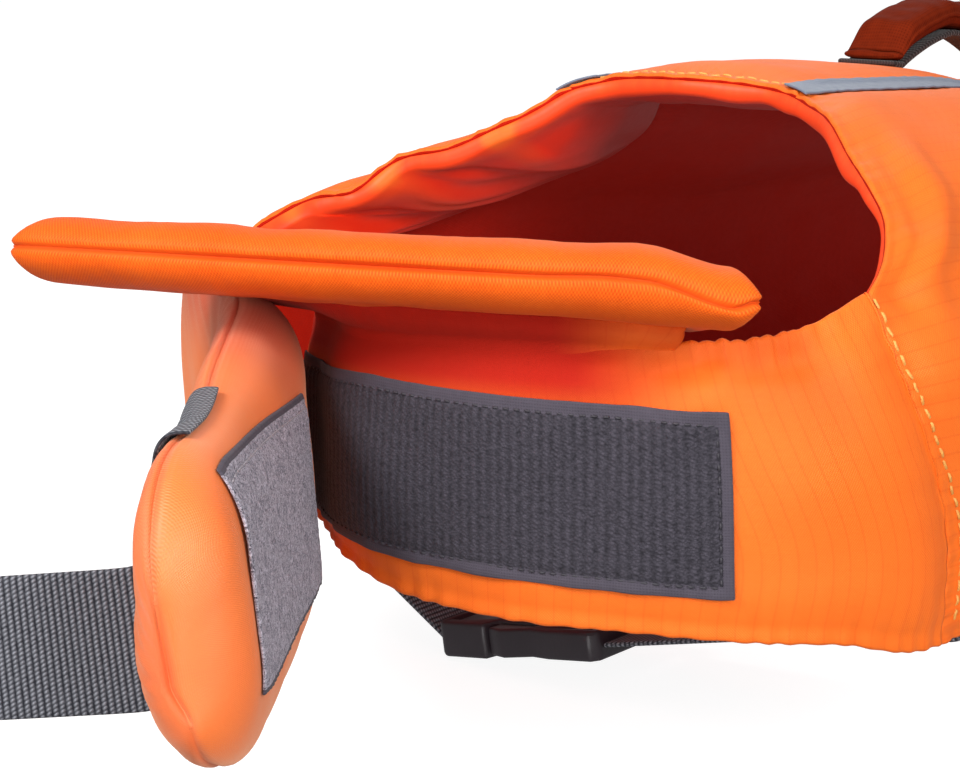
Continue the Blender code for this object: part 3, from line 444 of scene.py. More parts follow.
def bodyOut(angle, y):
    base = bodyPoint(angle, y)
    out = normalsOf(bodyPoint, angle, y)
    facing = np.sign((out * (base - np.stack([0 * y, y, 0 * y - 0.09], axis=-1))).sum(axis=-1, keepdims=True))
    return out * np.where(facing == 0, 1, facing)


def swell(distance, margin, reach):
    return np.sin(np.clip((distance - margin) / reach, 0, 1) * math.pi / 2) ** 0.9


def bodyFill(angle, y):
    size = panelSize
    arc = section(y, "half")
    away = (np.abs(np.abs(angle) - stripAngle) * arc, np.maximum(lowAngle - np.abs(angle), 0) * arc,
            np.maximum(y - frontEdge(angle), 0), np.maximum(edgeAt(hemRows, angle) - y, 0))
    total = 1.0
    for distance in away:
        total = total * swell(distance, size["margin"], size["reach"])
    return total


def bodySkin(angle, y):
    # points on the body, their outward directions and how far the padded panels' outer face stands off
    lift = panelSize["edgeHalf"] + panelSize["puffOut"] * bodyFill(angle, y)
    return bodyPoint(angle, y), bodyOut(angle, y), lift


def roundEdges(outer, inner, place):
    # adds rounded rims all the way round a pair of grids
    for axis in (0, 1):
        o, i, w = (np.swapaxes(grid, 0, axis) for grid in (outer, inner, place))
        rims = []
        for last, side in ((0, 1), (-1, -2)):
            middle = (o[last] + i[last]) / 2
            half = (o[last] - i[last]) / 2
            size = np.linalg.norm(half, axis=-1, keepdims=True)
            reach = unit(middle - (o[side] + i[side]) / 2) * size
            onward = (w[last] - w[side]) / np.maximum(np.linalg.norm(w[last] - w[side], axis=-1, keepdims=True), 1e-9)
            rims.append([(middle + reach * math.sin(t) + half * math.cos(t),
                          middle + reach * math.sin(t) - half * math.cos(t),
                          w[last] + onward * size * t) for t in (0.55, 1.1, math.pi / 2)])
        first, final = rims
        grids = []
        for k, grid in enumerate((o, i, w)):
            head = np.stack([rim[k] for rim in first[::-1]])
            tail = np.stack([rim[k] for rim in final])
            grids.append(np.swapaxes(np.concatenate([head, grid, tail]), 0, axis))
        outer, inner, place = grids
    return outer, inner, place


def addPiece(name, mesh):
    mesh.shade_smooth()
    made = bpy.data.objects.new(name, mesh)
    bpy.context.collection.objects.link(made)
    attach(made, "root")
    return made


def clothMesh(name, outer, inner, place, finishes, dye=None):
    # closed piece of cloth between two grids; place holds metres across and along it, dye how far
    # its colour is painted towards deep red as shade, as one value or as a pair for the two sides
    if dye is not None:
        pair = dye if isinstance(dye, tuple) else (dye, dye)
        sides = [np.broadcast_to(one, place.shape[:2]) for one in pair]
        place = np.concatenate([place, np.stack(sides, axis=-1)], axis=-1)
    outer, inner, place = roundEdges(outer, inner, place)
    rows, columns = outer.shape[:2]
    points = np.concatenate([outer.reshape(-1, 3), inner.reshape(-1, 3)])
    index = np.arange(rows * columns).reshape(rows, columns)
    quads = np.stack([index[:-1, :-1], index[:-1, 1:], index[1:, 1:], index[1:, :-1]], axis=-1).reshape(-1, 4)
    faces = np.concatenate([quads, quads[:, ::-1] + rows * columns])
    mesh = bpy.data.meshes.new(name)
    mesh.from_pydata(points.tolist(), [], faces.tolist())
    layer = mesh.uv_layers.new(name="cloth")
    flat = np.tile(place[..., :2].reshape(-1, 2), (2, 1))
    # the painted shade value is kept on the points
    if dye is not None:
        depth = mesh.attributes.new("dye", "FLOAT", "POINT")
        values = np.concatenate([place[..., 2].reshape(-1), place[..., 3].reshape(-1)])
        depth.data.foreach_set("value", np.clip(values, 0, 1).astype(np.float32))
    layer.data.foreach_set("uv", flat[faces.reshape(-1)].reshape(-1))
    side = np.zeros(len(faces), dtype=np.int32)
    side[len(quads):] = len(finishes) - 1
    for finish in finishes:
        mesh.materials.append(finish)
    mesh.polygons.foreach_set("material_index", side)
    shape = bmesh.new()
    shape.from_mesh(mesh)
    bmesh.ops.remove_doubles(shape, verts=shape.verts, dist=2e-6)
    bmesh.ops.dissolve_degenerate(shape, edges=shape.edges, dist=1e-7)
    bmesh.ops.recalc_face_normals(shape, faces=shape.faces)
    if shape.calc_volume(signed=True) < 0:
        bmesh.ops.reverse_faces(shape, faces=shape.faces)
    shape.to_mesh(mesh)
    shape.free()
    return addPiece(name, mesh)


def clothPlace(points):
    # metres along each direction of a grid, averaged so that threads follow its lines
    along = np.linalg.norm(np.diff(points, axis=0), axis=-1).mean(axis=1)
    across = np.linalg.norm(np.diff(points, axis=1), axis=-1).mean(axis=0)
    v = np.concatenate([[0], np.cumsum(along)])[:, None] + 0 * points[..., 0]
    u = np.concatenate([[0], np.cumsum(across)])[None, :] + 0 * points[..., 0]
    return np.stack([u, v], axis=-1)


def gridSize(place):
    return float(np.ptp(place[..., 0])), float(np.ptp(place[..., 1]))


panelLook = {"step": 0.0030, "fine": 0.0015, "seamPucker": 0.00045, "puckerPitch": 0.0085, "rumple": 0.00075,
             "rumpleSize": 0.060, "insideRumple": 0.0004, "puckerReach": 0.010, "foldReach": 0.060,
             "rollSpan": (0.075, 0.100, 0.150, 0.172), "fineReach": 0.075, "length": 0.47}
panelSeeds = {0: 3, 1: 7, -1: 11}  # for the back, the left side and the right side
shoulderRolls = (  # height, place behind the neck edge and width of each roll
    (-0.0019, 0.0125, 0.0060),
    (0.0019, 0.0250, 0.0075),
)
shoulderFolds = (  # start around the body, slope, height and width of each fold
    (0.128, 0.42, 0.0026, 0.007),
    (0.148, 0.30, -0.0026, 0.008),
    (0.178, 0.22, 0.0018, 0.010),
    (0.205, 0.16, -0.0014, 0.012),
)


def panelRelief(angle, y, side, seed):
    # soft troughs and ridges on a body panel
    arc = section(y, "half")
    toStrip = np.abs(np.abs(angle) - stripAngle) * arc
    toLow = np.maximum(lowAngle - np.abs(angle), 0) * arc
    toFront = np.maximum(y - frontEdge(angle), 0)
    fill = bodyFill(angle, y)
    look = panelLook
    relief = softNoise(angle * arc, y, look["rumpleSize"], seed) * look["rumple"] * fill
    for distance, along in ((toStrip, y), (toLow, y), (toFront, angle * arc)):
        pucker = gathers(along, look["puckerPitch"], seed + 1) * look["seamPucker"]
        relief = relief + pucker * np.exp(-distance / look["puckerReach"])
    if side > 0:  # a trough behind the neck edge with a ridge after it, and long folds from the shoulder seam
        across = angle * arc
        shown = within(across, *look["rollSpan"])
        for height, away, width in shoulderRolls:
            relief = relief + height * shown * bell(toFront - away, width)
        fade = np.exp(-toFront / look["foldReach"]) * smoothStep(toFront, 0.0, 0.010)
        for start, slope, height, width in shoulderFolds:
            relief = relief + height * bell(across - start - slope * toFront, width) * fade
    return relief


def bodyPanel(name, angles, side):
    look, size = panelLook, panelSize
    seed = panelSeeds[side]
    length = look["length"]
    rows = np.concatenate([np.arange(0, look["fineReach"], look["fine"]),
                           np.linspace(look["fineReach"], length - 0.02, 108),
                           length - np.arange(0, 0.02, look["fine"])[::-1]]) / length
    grid = np.repeat(angles[None, :], len(rows), axis=0)
    front, rear = frontEdge(grid), edgeAt(hemRows, grid)
    y = between(front, rear, rows[:, None])
    base, out, lift = bodySkin(grid, y)
    fill = bodyFill(grid, y)
    outer = base + out * (lift + panelRelief(grid, y, side, seed))[..., None]
    inward = between(size["edgeHalf"], size["puffIn"], fill)
    inward = inward + look["insideRumple"] * softNoise(grid * size["arc"], y, 0.05, seed + 5) * fill
    inner = base - out * inward[..., None]
    made = clothMesh(name, outer, inner, clothPlace(base), (shellOrange, liningRed))
    return made


def makeBody():
    size = panelSize
    gap = size["gap"] / 2 / size["arc"] * 1.06
    width = 2 * stripAngle * size["arc"]
    back = -stripAngle + spread(width, panelLook["step"], panelLook["fine"], 0.015) / size["arc"]
    back[0] += gap
    back[-1] -= gap
    arcLength = (lowAngle - stripAngle) * size["arc"]
    side = stripAngle + spread(arcLength, panelLook["step"] * 0.8, panelLook["fine"]) / size["arc"]
    side[0] += gap
    side[-1] -= gap
    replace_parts(bodyPanel("back_panel_cloth", back, 0), "back_panel")
    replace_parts(bodyPanel("side_panel_left_cloth", side, 1), "side_panel_left")
    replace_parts(bodyPanel("side_panel_right_cloth", -side, -1), "side_panel_right")


facingLook = {"rest": 0.0016, "thick": 0.0012, "fold": 0.0085, "nearFold": 0.0012, "deep": 0.040, "farDeep": 0.104,
              "rollShare": 0.13, "roll": 0.0026, "lowRoll": 0.0014,
              "half": math.radians(60.6), "fullness": 1.12, "rollFrom": (0.62, 0.86), "rollTurn": (-14, 175),
              "rollWave": 0.10, "rollPitch": 0.027, "foldPitch": 0.034, "foldLean": 0.014, "smallPitch": 0.013,
              "smallLean": 0.010, "rimShade": 0.14, "rollShade": 0.34, "deepShade": 0.55, "nearShade": 0.5,
              "crestHighlight": 0.34}


def makeFacing():
    # gathered band inside the neck edge; its front rolls out over the edge
    look = facingLook
    arc = panelSize["arc"]
    angles = np.linspace(-look["half"], look["half"], 300)
    share = look["rollShare"]
    rows = np.concatenate([np.linspace(0, share, 9), np.linspace(share, 1, 40)[1:]])
    grid, depth = np.meshgrid(angles, rows)
    onward = np.maximum(depth - share, 0) / (1 - share)
    far = smoothStep(-grid, 0.1, 0.7)
    roll = between(look["lowRoll"], look["roll"], 1 - smoothStep(grid, *look["rollFrom"]))
    roll = roll * (1 + look["rollWave"] * gathers(grid * arc, look["rollPitch"], 23))
    turn = np.radians(between(*look["rollTurn"], np.minimum(depth / share, 1)))
    deep = between(look["deep"], look["farDeep"], far)
    y = edgeAt(rimRows, grid) + 0.0006 - roll * np.sin(turn) + 0.0004 + deep * onward
    base, out, fill = bodyPoint(grid, y), bodyOut(grid, y), bodyFill(grid, y)
    inward = between(panelSize["edgeHalf"], panelSize["puffIn"], fill)
    wave = 0.5 + 0.5 * gathers(grid * arc + depth * look["foldLean"], look["foldPitch"], 21)
    small = 0.5 + 0.5 * gathers(grid * arc - depth * look["smallLean"], look["smallPitch"], 22)
    fold = between(look["nearFold"], look["fold"], far)
    hump = np.clip(onward + 0.6 * far * onward * (1 - onward), 0, 1)
    lift = fold * (wave * 0.8 + small * 0.2) * np.sin(hump * math.pi) ** 0.7
    settled = inward + look["rest"] * (1 - smoothStep(onward, 0.6, 1.0)) + 0.0003
    rolled = roll * 1.15 * (1 - np.cos(turn)) - 0.0006 * (1 - smoothStep(depth, 0.0, share))
    seen = between(rolled, settled, smoothStep(onward, 0.0, 0.35)) + lift
    inner = base - out * (seen + look["thick"] * 0.5)[..., None]
    facing = gridOut(inner)
    facing = facing * -np.sign((facing * out)[-3].sum(axis=-1).mean())
    outer = inner - facing * (look["thick"] * (1 - 0.5 * smoothStep(onward, 0.7, 1.0)))[..., None]
    # painted shade: the colour darkens from the rim's orange to deep red over the roll and deeper into the neck,
    # where shade falls, partly the lining's own red; the far side's fold crests near the rim stay lighter as a
    # painted highlight
    dye = look["rimShade"] + look["rollShade"] * smoothStep(depth, 0.05, share * 1.8)
    dye = dye + look["deepShade"] * smoothStep(onward, 0.45, 1.0)
    paintedCrestHighlight = look["crestHighlight"] * far * smoothStep(wave, 0.62, 1.0) * (1 - smoothStep(onward, 0.25, 0.6))
    dye = dye + look["nearShade"] * (1 - far) * smoothStep(onward, 0.0, 0.4) - paintedCrestHighlight
    place = clothPlace(base)
    made = clothMesh("neck_facing_cloth", outer, inner, place, (facingRed,), dye)
    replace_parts(made, "neck_facing")


stripLook = {"width": 0.0108, "inner": -0.64, "outer": 0.40, "rest": 0.0005, "thick": 0.0008, "pucker": 0.00015}


def makeStrip(side, name):
    # inner and outer are shares of the width, towards the middle of the back and away from it
    look = stripLook
    angles = side * (stripAngle + np.linspace(look["inner"], look["outer"], 9) * look["width"] / panelSize["arc"])
    rows = np.linspace(0, 1, 170)
    grid = np.repeat(angles[None, :], len(rows), axis=0)
    start, end = edgeAt(rimRows, grid) + 0.0002, edgeAt(hemRows, grid) - 0.0015
    y = between(start, end, rows[:, None])
    base, out, lift = bodySkin(grid, y)
    lift = lift + look["rest"] + look["pucker"] * gathers(y, 0.008, 31)
    place = clothPlace(base)
    made = clothMesh(name + "_tape", base + out * (lift + look["thick"])[..., None], base + out * lift[..., None],
                     place, (stripSilver,))
    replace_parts(made, name)


makeBody()
makeFacing()
makeStrip(1, "reflective_strip_left")
makeStrip(-1, "reflective_strip_right")
print("back and sides made")


chestNames = ("plan", "neckline", "lowerEdge", "inset")
chestRows = (
    (0, -0.0420, -0.1414, 0.0000),
    (12, -0.0440, -0.1392, 0.0000),
    (22, -0.0480, -0.1345, 0.0000),
    (36, -0.0515, -0.1320, 0.0000),
    (54, -0.0520, -0.1300, 0.0010),
    (72, -0.0530, -0.1300, 0.0030),
    (86, -0.0550, -0.1280, 0.0060),
    (96, -0.0565, -0.1262, 0.0120),
    (108, -0.0575, -0.1240, 0.0240),
    (122, -0.0600, -0.1200, 0.0300),
)
chestLook = {"end": math.radians(122), "puff": 0.0022, "run": 0.27, "height": 0.08, "reach": 0.012,
             "scallops": 8, "scallopFrom": math.radians(27), "scallopTo": math.radians(45),
             "scallopHeight": 0.0005, "shoulderGap": 0.0012, "perDegree": 0.0024, "dip": 0.0016, "dipAt": 0.0065,
             "dipWidth": 0.0040, "dipPlans": (22, 30, 44, 52), "rumple": 0.0006, "rumpleSize": 0.045,
             "underPlans": (40, 60), "underReach": (0.010, 0.027), "curlPlans": (22, 30, 42, 52),
             "curlReach": (0.0015, 0.0085), "curlShade": 0.26}
chestPuckers = {"neckline": (0.0007, 0.0115, 41, 0.009), "seam": (0.00045, 0.009, 42, 0.012),
                "lower": (0.00040, 0.010, 43, 0.008), "curl": (0.0012, 0.011, 47)}  # height, pitch, seed and reach
chestFolds = (  # plan angle, slope, height, width in degrees and reach of each fold below the neckline
    (47.0, 260.0, -0.0026, 3.2, 0.016),
    (38.5, 330.0, 0.0016, 3.0, 0.018),
    (55.0, 200.0, 0.0015, 3.6, 0.014),
    (30.0, -260.0, -0.0011, 2.8, 0.014),
)
tapeLook = {"width": 0.050, "thick": 0.0010, "gap": 0.0005, "hookPlan": (math.radians(40), math.radians(118)),
            "hookSlant": 0.016, "hookDip": 0.0013, "hookFar": 0.0042, "hookTop": -0.0680, "hookSelvage": 0.0030,
            "loopFromTip": (0.016, 0.134), "loopTop": -0.0665, "loopWidth": 0.0550, "loopDrop": 0.0062,
            "loopSlant": 0.0095, "loopSelvage": 0.0014, "loopStitch": 0.0034}


def nosePoint(plan, z, inset=0.0):
    size = bodySize
    half, top, middle = (section(size["noseStart"], name) for name in ("half", "top", "middle"))
    lift = np.clip((z - middle) / (top - middle), 0, 0.999)
    scale = (1 - lift ** size["roundness"]) ** (1 / size["roundness"])
    x = (half * scale - inset) * np.cos(plan)
    y = size["noseStart"] - (size["noseLength"] * scale - inset) * np.sin(plan)
    return np.stack(np.broadcast_arrays(x, y, z), axis=-1)


def seamPoint(side, rise):
    angles = side * np.radians(np.linspace(124, 61, 60))
    line = bodyPoint(angles, edgeAt(shoulderRows, angles))
    height = between(line[0, 2], line[-1, 2], np.asarray(rise, float))
    return np.stack([np.interp(height, line[:, 2], line[:, k]) for k in range(3)], axis=-1)


def chest(plan, name):
    return smoothRow(chestRows, chestNames.index(name), np.degrees(plan))


def scallop(plan):
    look = chestLook
    turn = (plan - look["scallopFrom"]) / (look["scallopTo"] - look["scallopFrom"])
    wave = np.abs(np.sin(np.clip(turn, 0, 1) * math.pi * look["scallops"]))
    return wave * smoothStep(turn, 0, 0.12) * (1 - smoothStep(turn, 0.88, 1.0))


def chestPlan(along, rise):
    seam = seamPoint(1, rise)
    size = bodySize
    half = section(size["noseStart"], "half")
    start = np.arctan2((size["noseStart"] - seam[..., 1]) / size["noseLength"], seam[..., 0] / half)
    return between(start, chestLook["end"], along), start


def chestBase(along, rise):
    along, rise = paired(along, rise)
    plan, start = chestPlan(along, rise)
    low, high = chest(plan, "lowerEdge"), chest(plan, "neckline")
    firstLow, firstHigh = chest(start, "lowerEdge"), chest(start, "neckline")
    first = nosePoint(start, between(firstLow, firstHigh, rise), chest(start, "inset"))
    meet = (seamPoint(1, rise) - first) * (1 - smoothStep(along, 0.0, 0.2))[..., None]
    return nosePoint(plan, between(low, high, rise), chest(plan, "inset")) + meet


def chestSides(along, rise, lift=0.0, relief=0.0):
    along, rise = paired(along, rise)
    look = chestLook
    base = chestBase(along, rise)
    out = normalsOf(chestBase, along, rise, 1e-4, 1e-4)
    away = (base - [0, bodySize["noseStart"], 0]) * [1, 1, 0]
    out = turned(out, away)
    margin, reach = panelSize["margin"], look["reach"]
    fill = swell(along * look["run"], margin, panelSize["reach"])
    fill = fill * swell((1 - along) * look["run"], margin, panelSize["reach"])
    fill = fill * swell(rise * look["height"], margin, reach) * swell((1 - rise) * look["height"], margin, reach)
    pucker = look["scallopHeight"] * scallop(chestPlan(along, rise)[0]) * smoothStep(rise, 0.84, 0.96)
    half = panelSize["edgeHalf"] + look["puff"] * fill
    outer = base + out * (half + pucker + lift + relief)[..., None]
    return outer, base - out * (half - 0.5 * np.minimum(relief, 0))[..., None]


def chestPucker(name, along, away):
    height, pitch, seed, reach = chestPuckers[name]
    return height * gathers(along, pitch, seed) * np.exp(-away / reach)


def chestRelief(along, rise):
    # gathers under the neckline, a deep fold below the float and soft puckers at the seams
    look = chestLook
    plan = chestPlan(along, rise)[0]
    toTop, toLow = (1 - rise) * look["height"], rise * look["height"]
    toSeam = along * look["run"]
    degrees = np.degrees(plan)
    around = degrees * look["perDegree"]
    relief = chestPucker("neckline", around, toTop) * smoothStep(degrees, 16, 26)
    relief = relief * (1 - smoothStep(degrees, 43, 50))
    dip = look["dip"] * bell(toTop - look["dipAt"], look["dipWidth"])
    relief = relief - dip * within(degrees, *look["dipPlans"])
    relief = relief + chestPucker("seam", toTop, toSeam)
    relief = relief + chestPucker("lower", around, toLow)
    rumple = look["rumple"] * softNoise(around, toTop, look["rumpleSize"], 44)
    relief = relief + rumple * smoothStep(toTop, 0, 0.01)
    for centre, slope, depth, width, reach in chestFolds:
        fade = bell(toTop - 0.008, reach) * smoothStep(toTop, 0.002, 0.007)
        relief = relief + depth * bell(degrees - centre - slope * toTop, width) * fade
    return relief


def chestPaintedShade(along, rise):
    # painted shade: redder under the float, where its shadow falls, and where the neckline curls in
    look = chestLook
    degrees = np.degrees(chestPlan(along, rise)[0])
    toTop = (1 - rise) * look["height"]
    under = smoothStep(degrees, *look["underPlans"]) * (1 - smoothStep(toTop, *look["underReach"]))
    height, pitch, seed = chestPuckers["curl"]
    uneven = height * gathers(degrees * look["perDegree"], pitch, seed)
    curl = within(degrees, *look["curlPlans"])
    curl = curl * (1 - smoothStep(toTop + uneven, *look["curlReach"])) * look["curlShade"]
    return np.maximum(under, curl)


def shoulderPull(grid, reach):
    # the flaps stop just short of the shoulder seams
    return (1 - smoothStep(grid, 0, reach))[..., None] * np.array([0.0, -chestLook["shoulderGap"], 0.0])


def makeChest():
    look = chestLook
    along = np.concatenate([np.arange(0, 0.012, 0.0012), np.arange(0.012, 0.26, 0.00135),
                            np.linspace(0.26, 0.27, 8)]) / look["run"]
    along = along / along[-1]
    rise = spread(look["height"], 0.0020, 0.0011, 0.012) / look["height"]
    grid, rows = np.meshgrid(along, rise)
    outer, inner = chestSides(grid, rows, 0.0, chestRelief(grid, rows))
    lifted = look["scallopHeight"] * scallop(chestPlan(grid, rows)[0]) * smoothStep(rows, 0.93, 1.0)
    first = shoulderPull(grid, 0.006)
    for side in (outer, inner):
        side[..., 2] += lifted
        side += first
    made = clothMesh("chest_flap_left_cloth", outer, inner, clothPlace(chestBase(grid, rows)),
                     (shellOrange, liningRed), chestPaintedShade(grid, rows))
    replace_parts(made, "chest_flap_left")


def chestAt(plan, z):
    rise = (z - chest(plan, "lowerEdge")) / (chest(plan, "neckline") - chest(plan, "lowerEdge"))
    start = chestPlan(0.0, rise)[1]
    return (plan - start) / (chestLook["end"] - start), rise


def hookGrid(plans, heights):
    # the tape's right end slants a little and dips
    look = tapeLook
    near = 1 - smoothStep(plans, look["hookPlan"][0], look["hookPlan"][0] + 0.30)
    down = (look["hookTop"] - heights) / look["width"]
    far = smoothStep(plans, math.radians(86), math.radians(112)) * (1 - down)
    return chestAt(plans - look["hookSlant"] * near * down, heights - look["hookDip"] * near - look["hookFar"] * far)


def makeHookTape():
    look = tapeLook
    plans = np.linspace(*look["hookPlan"], 185)
    heights = look["hookTop"] - look["width"] * np.linspace(0, 1, 46)
    grid, rows = np.meshgrid(plans, heights)
    along, rise = hookGrid(grid, rows)
    place = clothPlace(chestSides(along, rise)[0])
    u, v = place[..., 0], place[..., 1]
    width, height = gridSize(place)
    border = np.minimum.reduce([u, v, height - v])
    sunk = -0.0004 * bell(border - look["hookSelvage"], 0.0008)
    sunk = sunk - 0.0002 * (1 - smoothStep(border, 0.003, 0.005))
    curl = 0.0004 * gathers(u, 0.021, 51) * np.exp(-np.minimum(v, height - v) / 0.008)
    lift = look["gap"] + look["thick"] + sunk + curl + 0.00025 * softNoise(u, v, 0.03, 52)
    under = chestRelief(along, rise)
    outer = chestSides(along, rise, lift, under)[0]
    inner = chestSides(along, rise, np.minimum(lift - 0.0008, look["gap"]), under)[0]
    made = clothMesh("hook_tape_rows", outer, inner, place, (hookGrey,))
    selvage(made, lambda u, v: min(u, v, height - v) < look["hookSelvage"])
    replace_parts(made, "hook_tape")


def selvage(made, inBorder):
    # plain woven border on a tape
    places = made.data.uv_layers["cloth"].data
    made.data.materials.append(tapeEdgeGrey)
    for face in made.data.polygons:
        spots = [places[i].uv for i in face.loop_indices]
        if inBorder(sum(p[0] for p in spots) / len(spots), sum(p[1] for p in spots) / len(spots)):
            face.material_index = 1


makeChest()
makeHookTape()
print("left chest flap made")


swingRows = (
    (-0.1380, -0.1290),
    (-0.1300, -0.1500),
    (-0.1140, -0.1730),
    (-0.0940, -0.1920),
    (-0.0740, -0.2030),
    (-0.0560, -0.2090),
    (-0.0385, -0.2195),
    (-0.0215, -0.2390),
    (0.0129, -0.2819),
    (0.0645, -0.3482),
)
flapNames = ("along", "top", "bottom", "half", "lean")
flapRows = (
    (0.00, -0.0420, -0.1414, 0.0016, 0.00),
    (0.14, -0.0520, -0.1375, 0.0050, 0.00),
    (0.30, -0.0500, -0.1375, 0.0070, 0.00),
    (0.44, -0.0485, -0.1438, 0.0125, 0.03),
    (0.56, -0.0545, -0.1468, 0.0148, 0.07),
    (0.75, -0.0610, -0.1447, 0.0140, 0.12),
    (1.00, -0.0600, -0.1398, 0.0140, 0.13),
)
flapLook = {"round": 0.036, "edge": 0.0004, "tipShare": 0.34, "tipDrop": 0.010, "height": 0.080,
            "tipDome": 0.016, "seamDepth": 0.0017, "seamWidth": 0.0012, "seamShift": 0.0046, "topShift": 0.0055,
            "pucker": 0.0007, "puckerPitch": 0.0105, "rumple": 0.0009, "rumpleSize": 0.040, "crease": 0.0020,
            "creaseAt": 0.262, "slack": 0.0054, "slackAt": 0.250, "slackSpread": 0.042}


def swingPath():
    points = np.array(swingRows)
    lengths = stepsAlong(points)
    return lengths[-1], np.column_stack([lengths, points])


swingLength, swingTable = swingPath()


def flap(along, name):
    return smoothRow(flapRows, flapNames.index(name), along)


def flapBase(along, rise):
    look = flapLook
    along, rise = paired(along, rise)
    length = np.clip(along, 0, 1) * swingLength
    x, y = smoothRow(swingTable, 1, length), smoothRow(swingTable, 2, length)
    step = 0.0005
    dx = smoothRow(swingTable, 1, length + step) - smoothRow(swingTable, 1, length - step)
    dy = smoothRow(swingTable, 2, length + step) - smoothRow(swingTable, 2, length - step)
    run = np.hypot(dx, dy)
    toTip = np.clip((1 - along) * swingLength / look["round"], 0, 1)
    shorten = between(look["tipShare"], 1, np.sqrt(1 - (1 - toTip) ** 2))
    top, bottom = flap(along, "top"), flap(along, "bottom")
    height = (top - bottom) * (rise - 0.5) * shorten
    lean = flap(along, "lean") * height
    middle = (top + bottom) / 2 - look["tipDrop"] * (1 - shorten)
    base = np.stack([x + dy / run * lean, y - dx / run * lean, middle + height], axis=-1)
    z = between(flap(0.0, "bottom"), flap(0.0, "top"), rise)
    first = np.stack([0 * x + swingTable[0, 1], 0 * x + swingTable[0, 2], z], axis=-1)
    return base + (seamPoint(-1, rise) - first) * (1 - smoothStep(along, 0.0, 0.16))[..., None]


def flapTurn(along, rise):
    turn = normalsOf(flapBase, np.clip(along, 0.002, 0.998), rise, 1e-3, 1e-4)
    return turned(turn, [1.0, 0.6, 0.0])


def flapFill(along, rise):
    look = flapLook
    half = flap(along, "half")
    tip = smoothStep(along, 0.45, 0.8)
    fill = dome(rise * look["height"], half * (1.2 + tip))
    fill = fill * dome((1 - rise) * look["height"], half * (1.5 + 0.2 * tip))
    return fill * dome((1 - along) * swingLength, look["tipDome"])


def flapDip(along):
    # share of the slack, most under the strap patch
    return bell(along * swingLength - flapLook["slackAt"], flapLook["slackSpread"])


def flapShift(along, rise):
    # how far the seam lies off the middle, towards the outer side
    look = flapLook
    toTip = (1 - along) * swingLength
    atTip = look["seamShift"] * bell(toTip, 0.016) * (0.25 + 0.75 * smoothStep(rise, 0.0, 0.35))
    onTop = look["topShift"] * smoothStep(rise, 0.50, 0.85) * smoothStep(along, 0.14, 0.36)
    onTop = onTop * (1 - flapDip(along))
    return np.maximum(atTip, onTop)


def flapRelief(along, rise):
    # puckers at the seam, soft rumples, one crease and a less full outer face under the strap patch
    look = flapLook
    tall, run = look["height"], along * swingLength
    fill = flapFill(along, rise)
    toSeam = np.minimum.reduce([rise * tall, (1 - rise) * tall, (1 - along) * swingLength])
    pucker = gathers(run + rise * tall, look["puckerPitch"], 61) * look["pucker"] * np.exp(-toSeam / 0.010) * fill
    rumple = softNoise(run, rise * tall, look["rumpleSize"], 62) * look["rumple"] * fill
    line = run - look["creaseAt"] + 0.25 * (rise - 0.5) * tall
    crease = -look["crease"] * bell(line, 0.006) * smoothStep(rise, 0.55, 0.9)
    slack = -look["slack"] * flapDip(along) * smoothStep(rise, 0.40, 0.8) * fill
    return pucker + rumple + crease + slack, pucker * 0.15 + rumple * 0.5


def flapSides(along, rise, liftIn=0.0, liftOut=0.0, relief=0.0, reliefIn=None):
    along, rise = paired(along, rise)
    look = flapLook
    base, turn, full = flapBase(along, rise), flapTurn(along, rise), flap(along, "half")
    half = between(look["edge"], full, flapFill(along, rise))
    shift = flapShift(along, rise)
    outer = base - turn * (half * (1 - shift / full) + shift + liftOut + relief)[..., None]
    inward = half * (1 + shift / full) - shift + liftIn + (relief if reliefIn is None else reliefIn)
    return outer, base + turn * inward[..., None]


def makeRightFlap():
    look = flapLook
    tall = look["height"]
    rise = crowded(tall, 0.017, 26, 12) / tall
    tip = 0.020 * (1 - np.cos(np.linspace(0, math.pi / 2, 16)))
    along = np.concatenate([np.linspace(0, swingLength - 0.020, 190)[:-1], swingLength - tip[::-1]]) / swingLength
    grid, rows = np.meshgrid(along, rise)
    base = flapBase(grid, rows)
    half = between(look["edge"], flap(grid, "half"), flapFill(grid, rows))
    run = grid * swingLength
    pull = look["seamDepth"] * bell(half, look["seamWidth"]) * smoothStep(run, 0.12, 0.18)
    inward = unit(flapBase(grid * 0.98, rows * 0.92 + 0.04) - base) * pull[..., None]
    outer, inner = flapSides(grid, rows, 0.0, 0.0, *flapRelief(grid, rows))
    outer, inner = outer + inward, inner + inward
    first = shoulderPull(grid, 0.004)
    # painted shade: deeper red on the flap's top behind the float, along the crease of the edge seam, and on the
    # outer face towards the tip
    shade = 0.75 * smoothStep(rows, 0.62, 1.0) * (1 - smoothStep(grid, 0.52, 0.68))
    inside = np.maximum(shade, 0.35 * bell(half, 0.0010) * smoothStep(run, 0.12, 0.18))
    outside = np.maximum(inside, 0.28 * smoothStep(grid, 0.6, 0.8))
    made = clothMesh("chest_flap_right_cloth", outer + first, inner + first, clothPlace(base), (flapOrange,),
                     (outside, inside))
    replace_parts(made, "chest_flap_right")


def flapAt(fromTip, z):
    along = 1 - fromTip / swingLength
    top, bottom = flap(along, "top"), flap(along, "bottom")
    return along, (z - bottom) / (top - bottom)


def loopGrid(fromTip, down):
    # down goes from 0 at the tape's top edge to 1 at its bottom edge
    look = tapeLook
    low, high = look["loopFromTip"]
    away = (fromTip - low) / (high - low)
    z = look["loopTop"] - look["loopWidth"] * down - look["loopDrop"] * away
    return flapAt(fromTip + look["loopSlant"] * (1 - down) ** 2 * (1 - away), z)


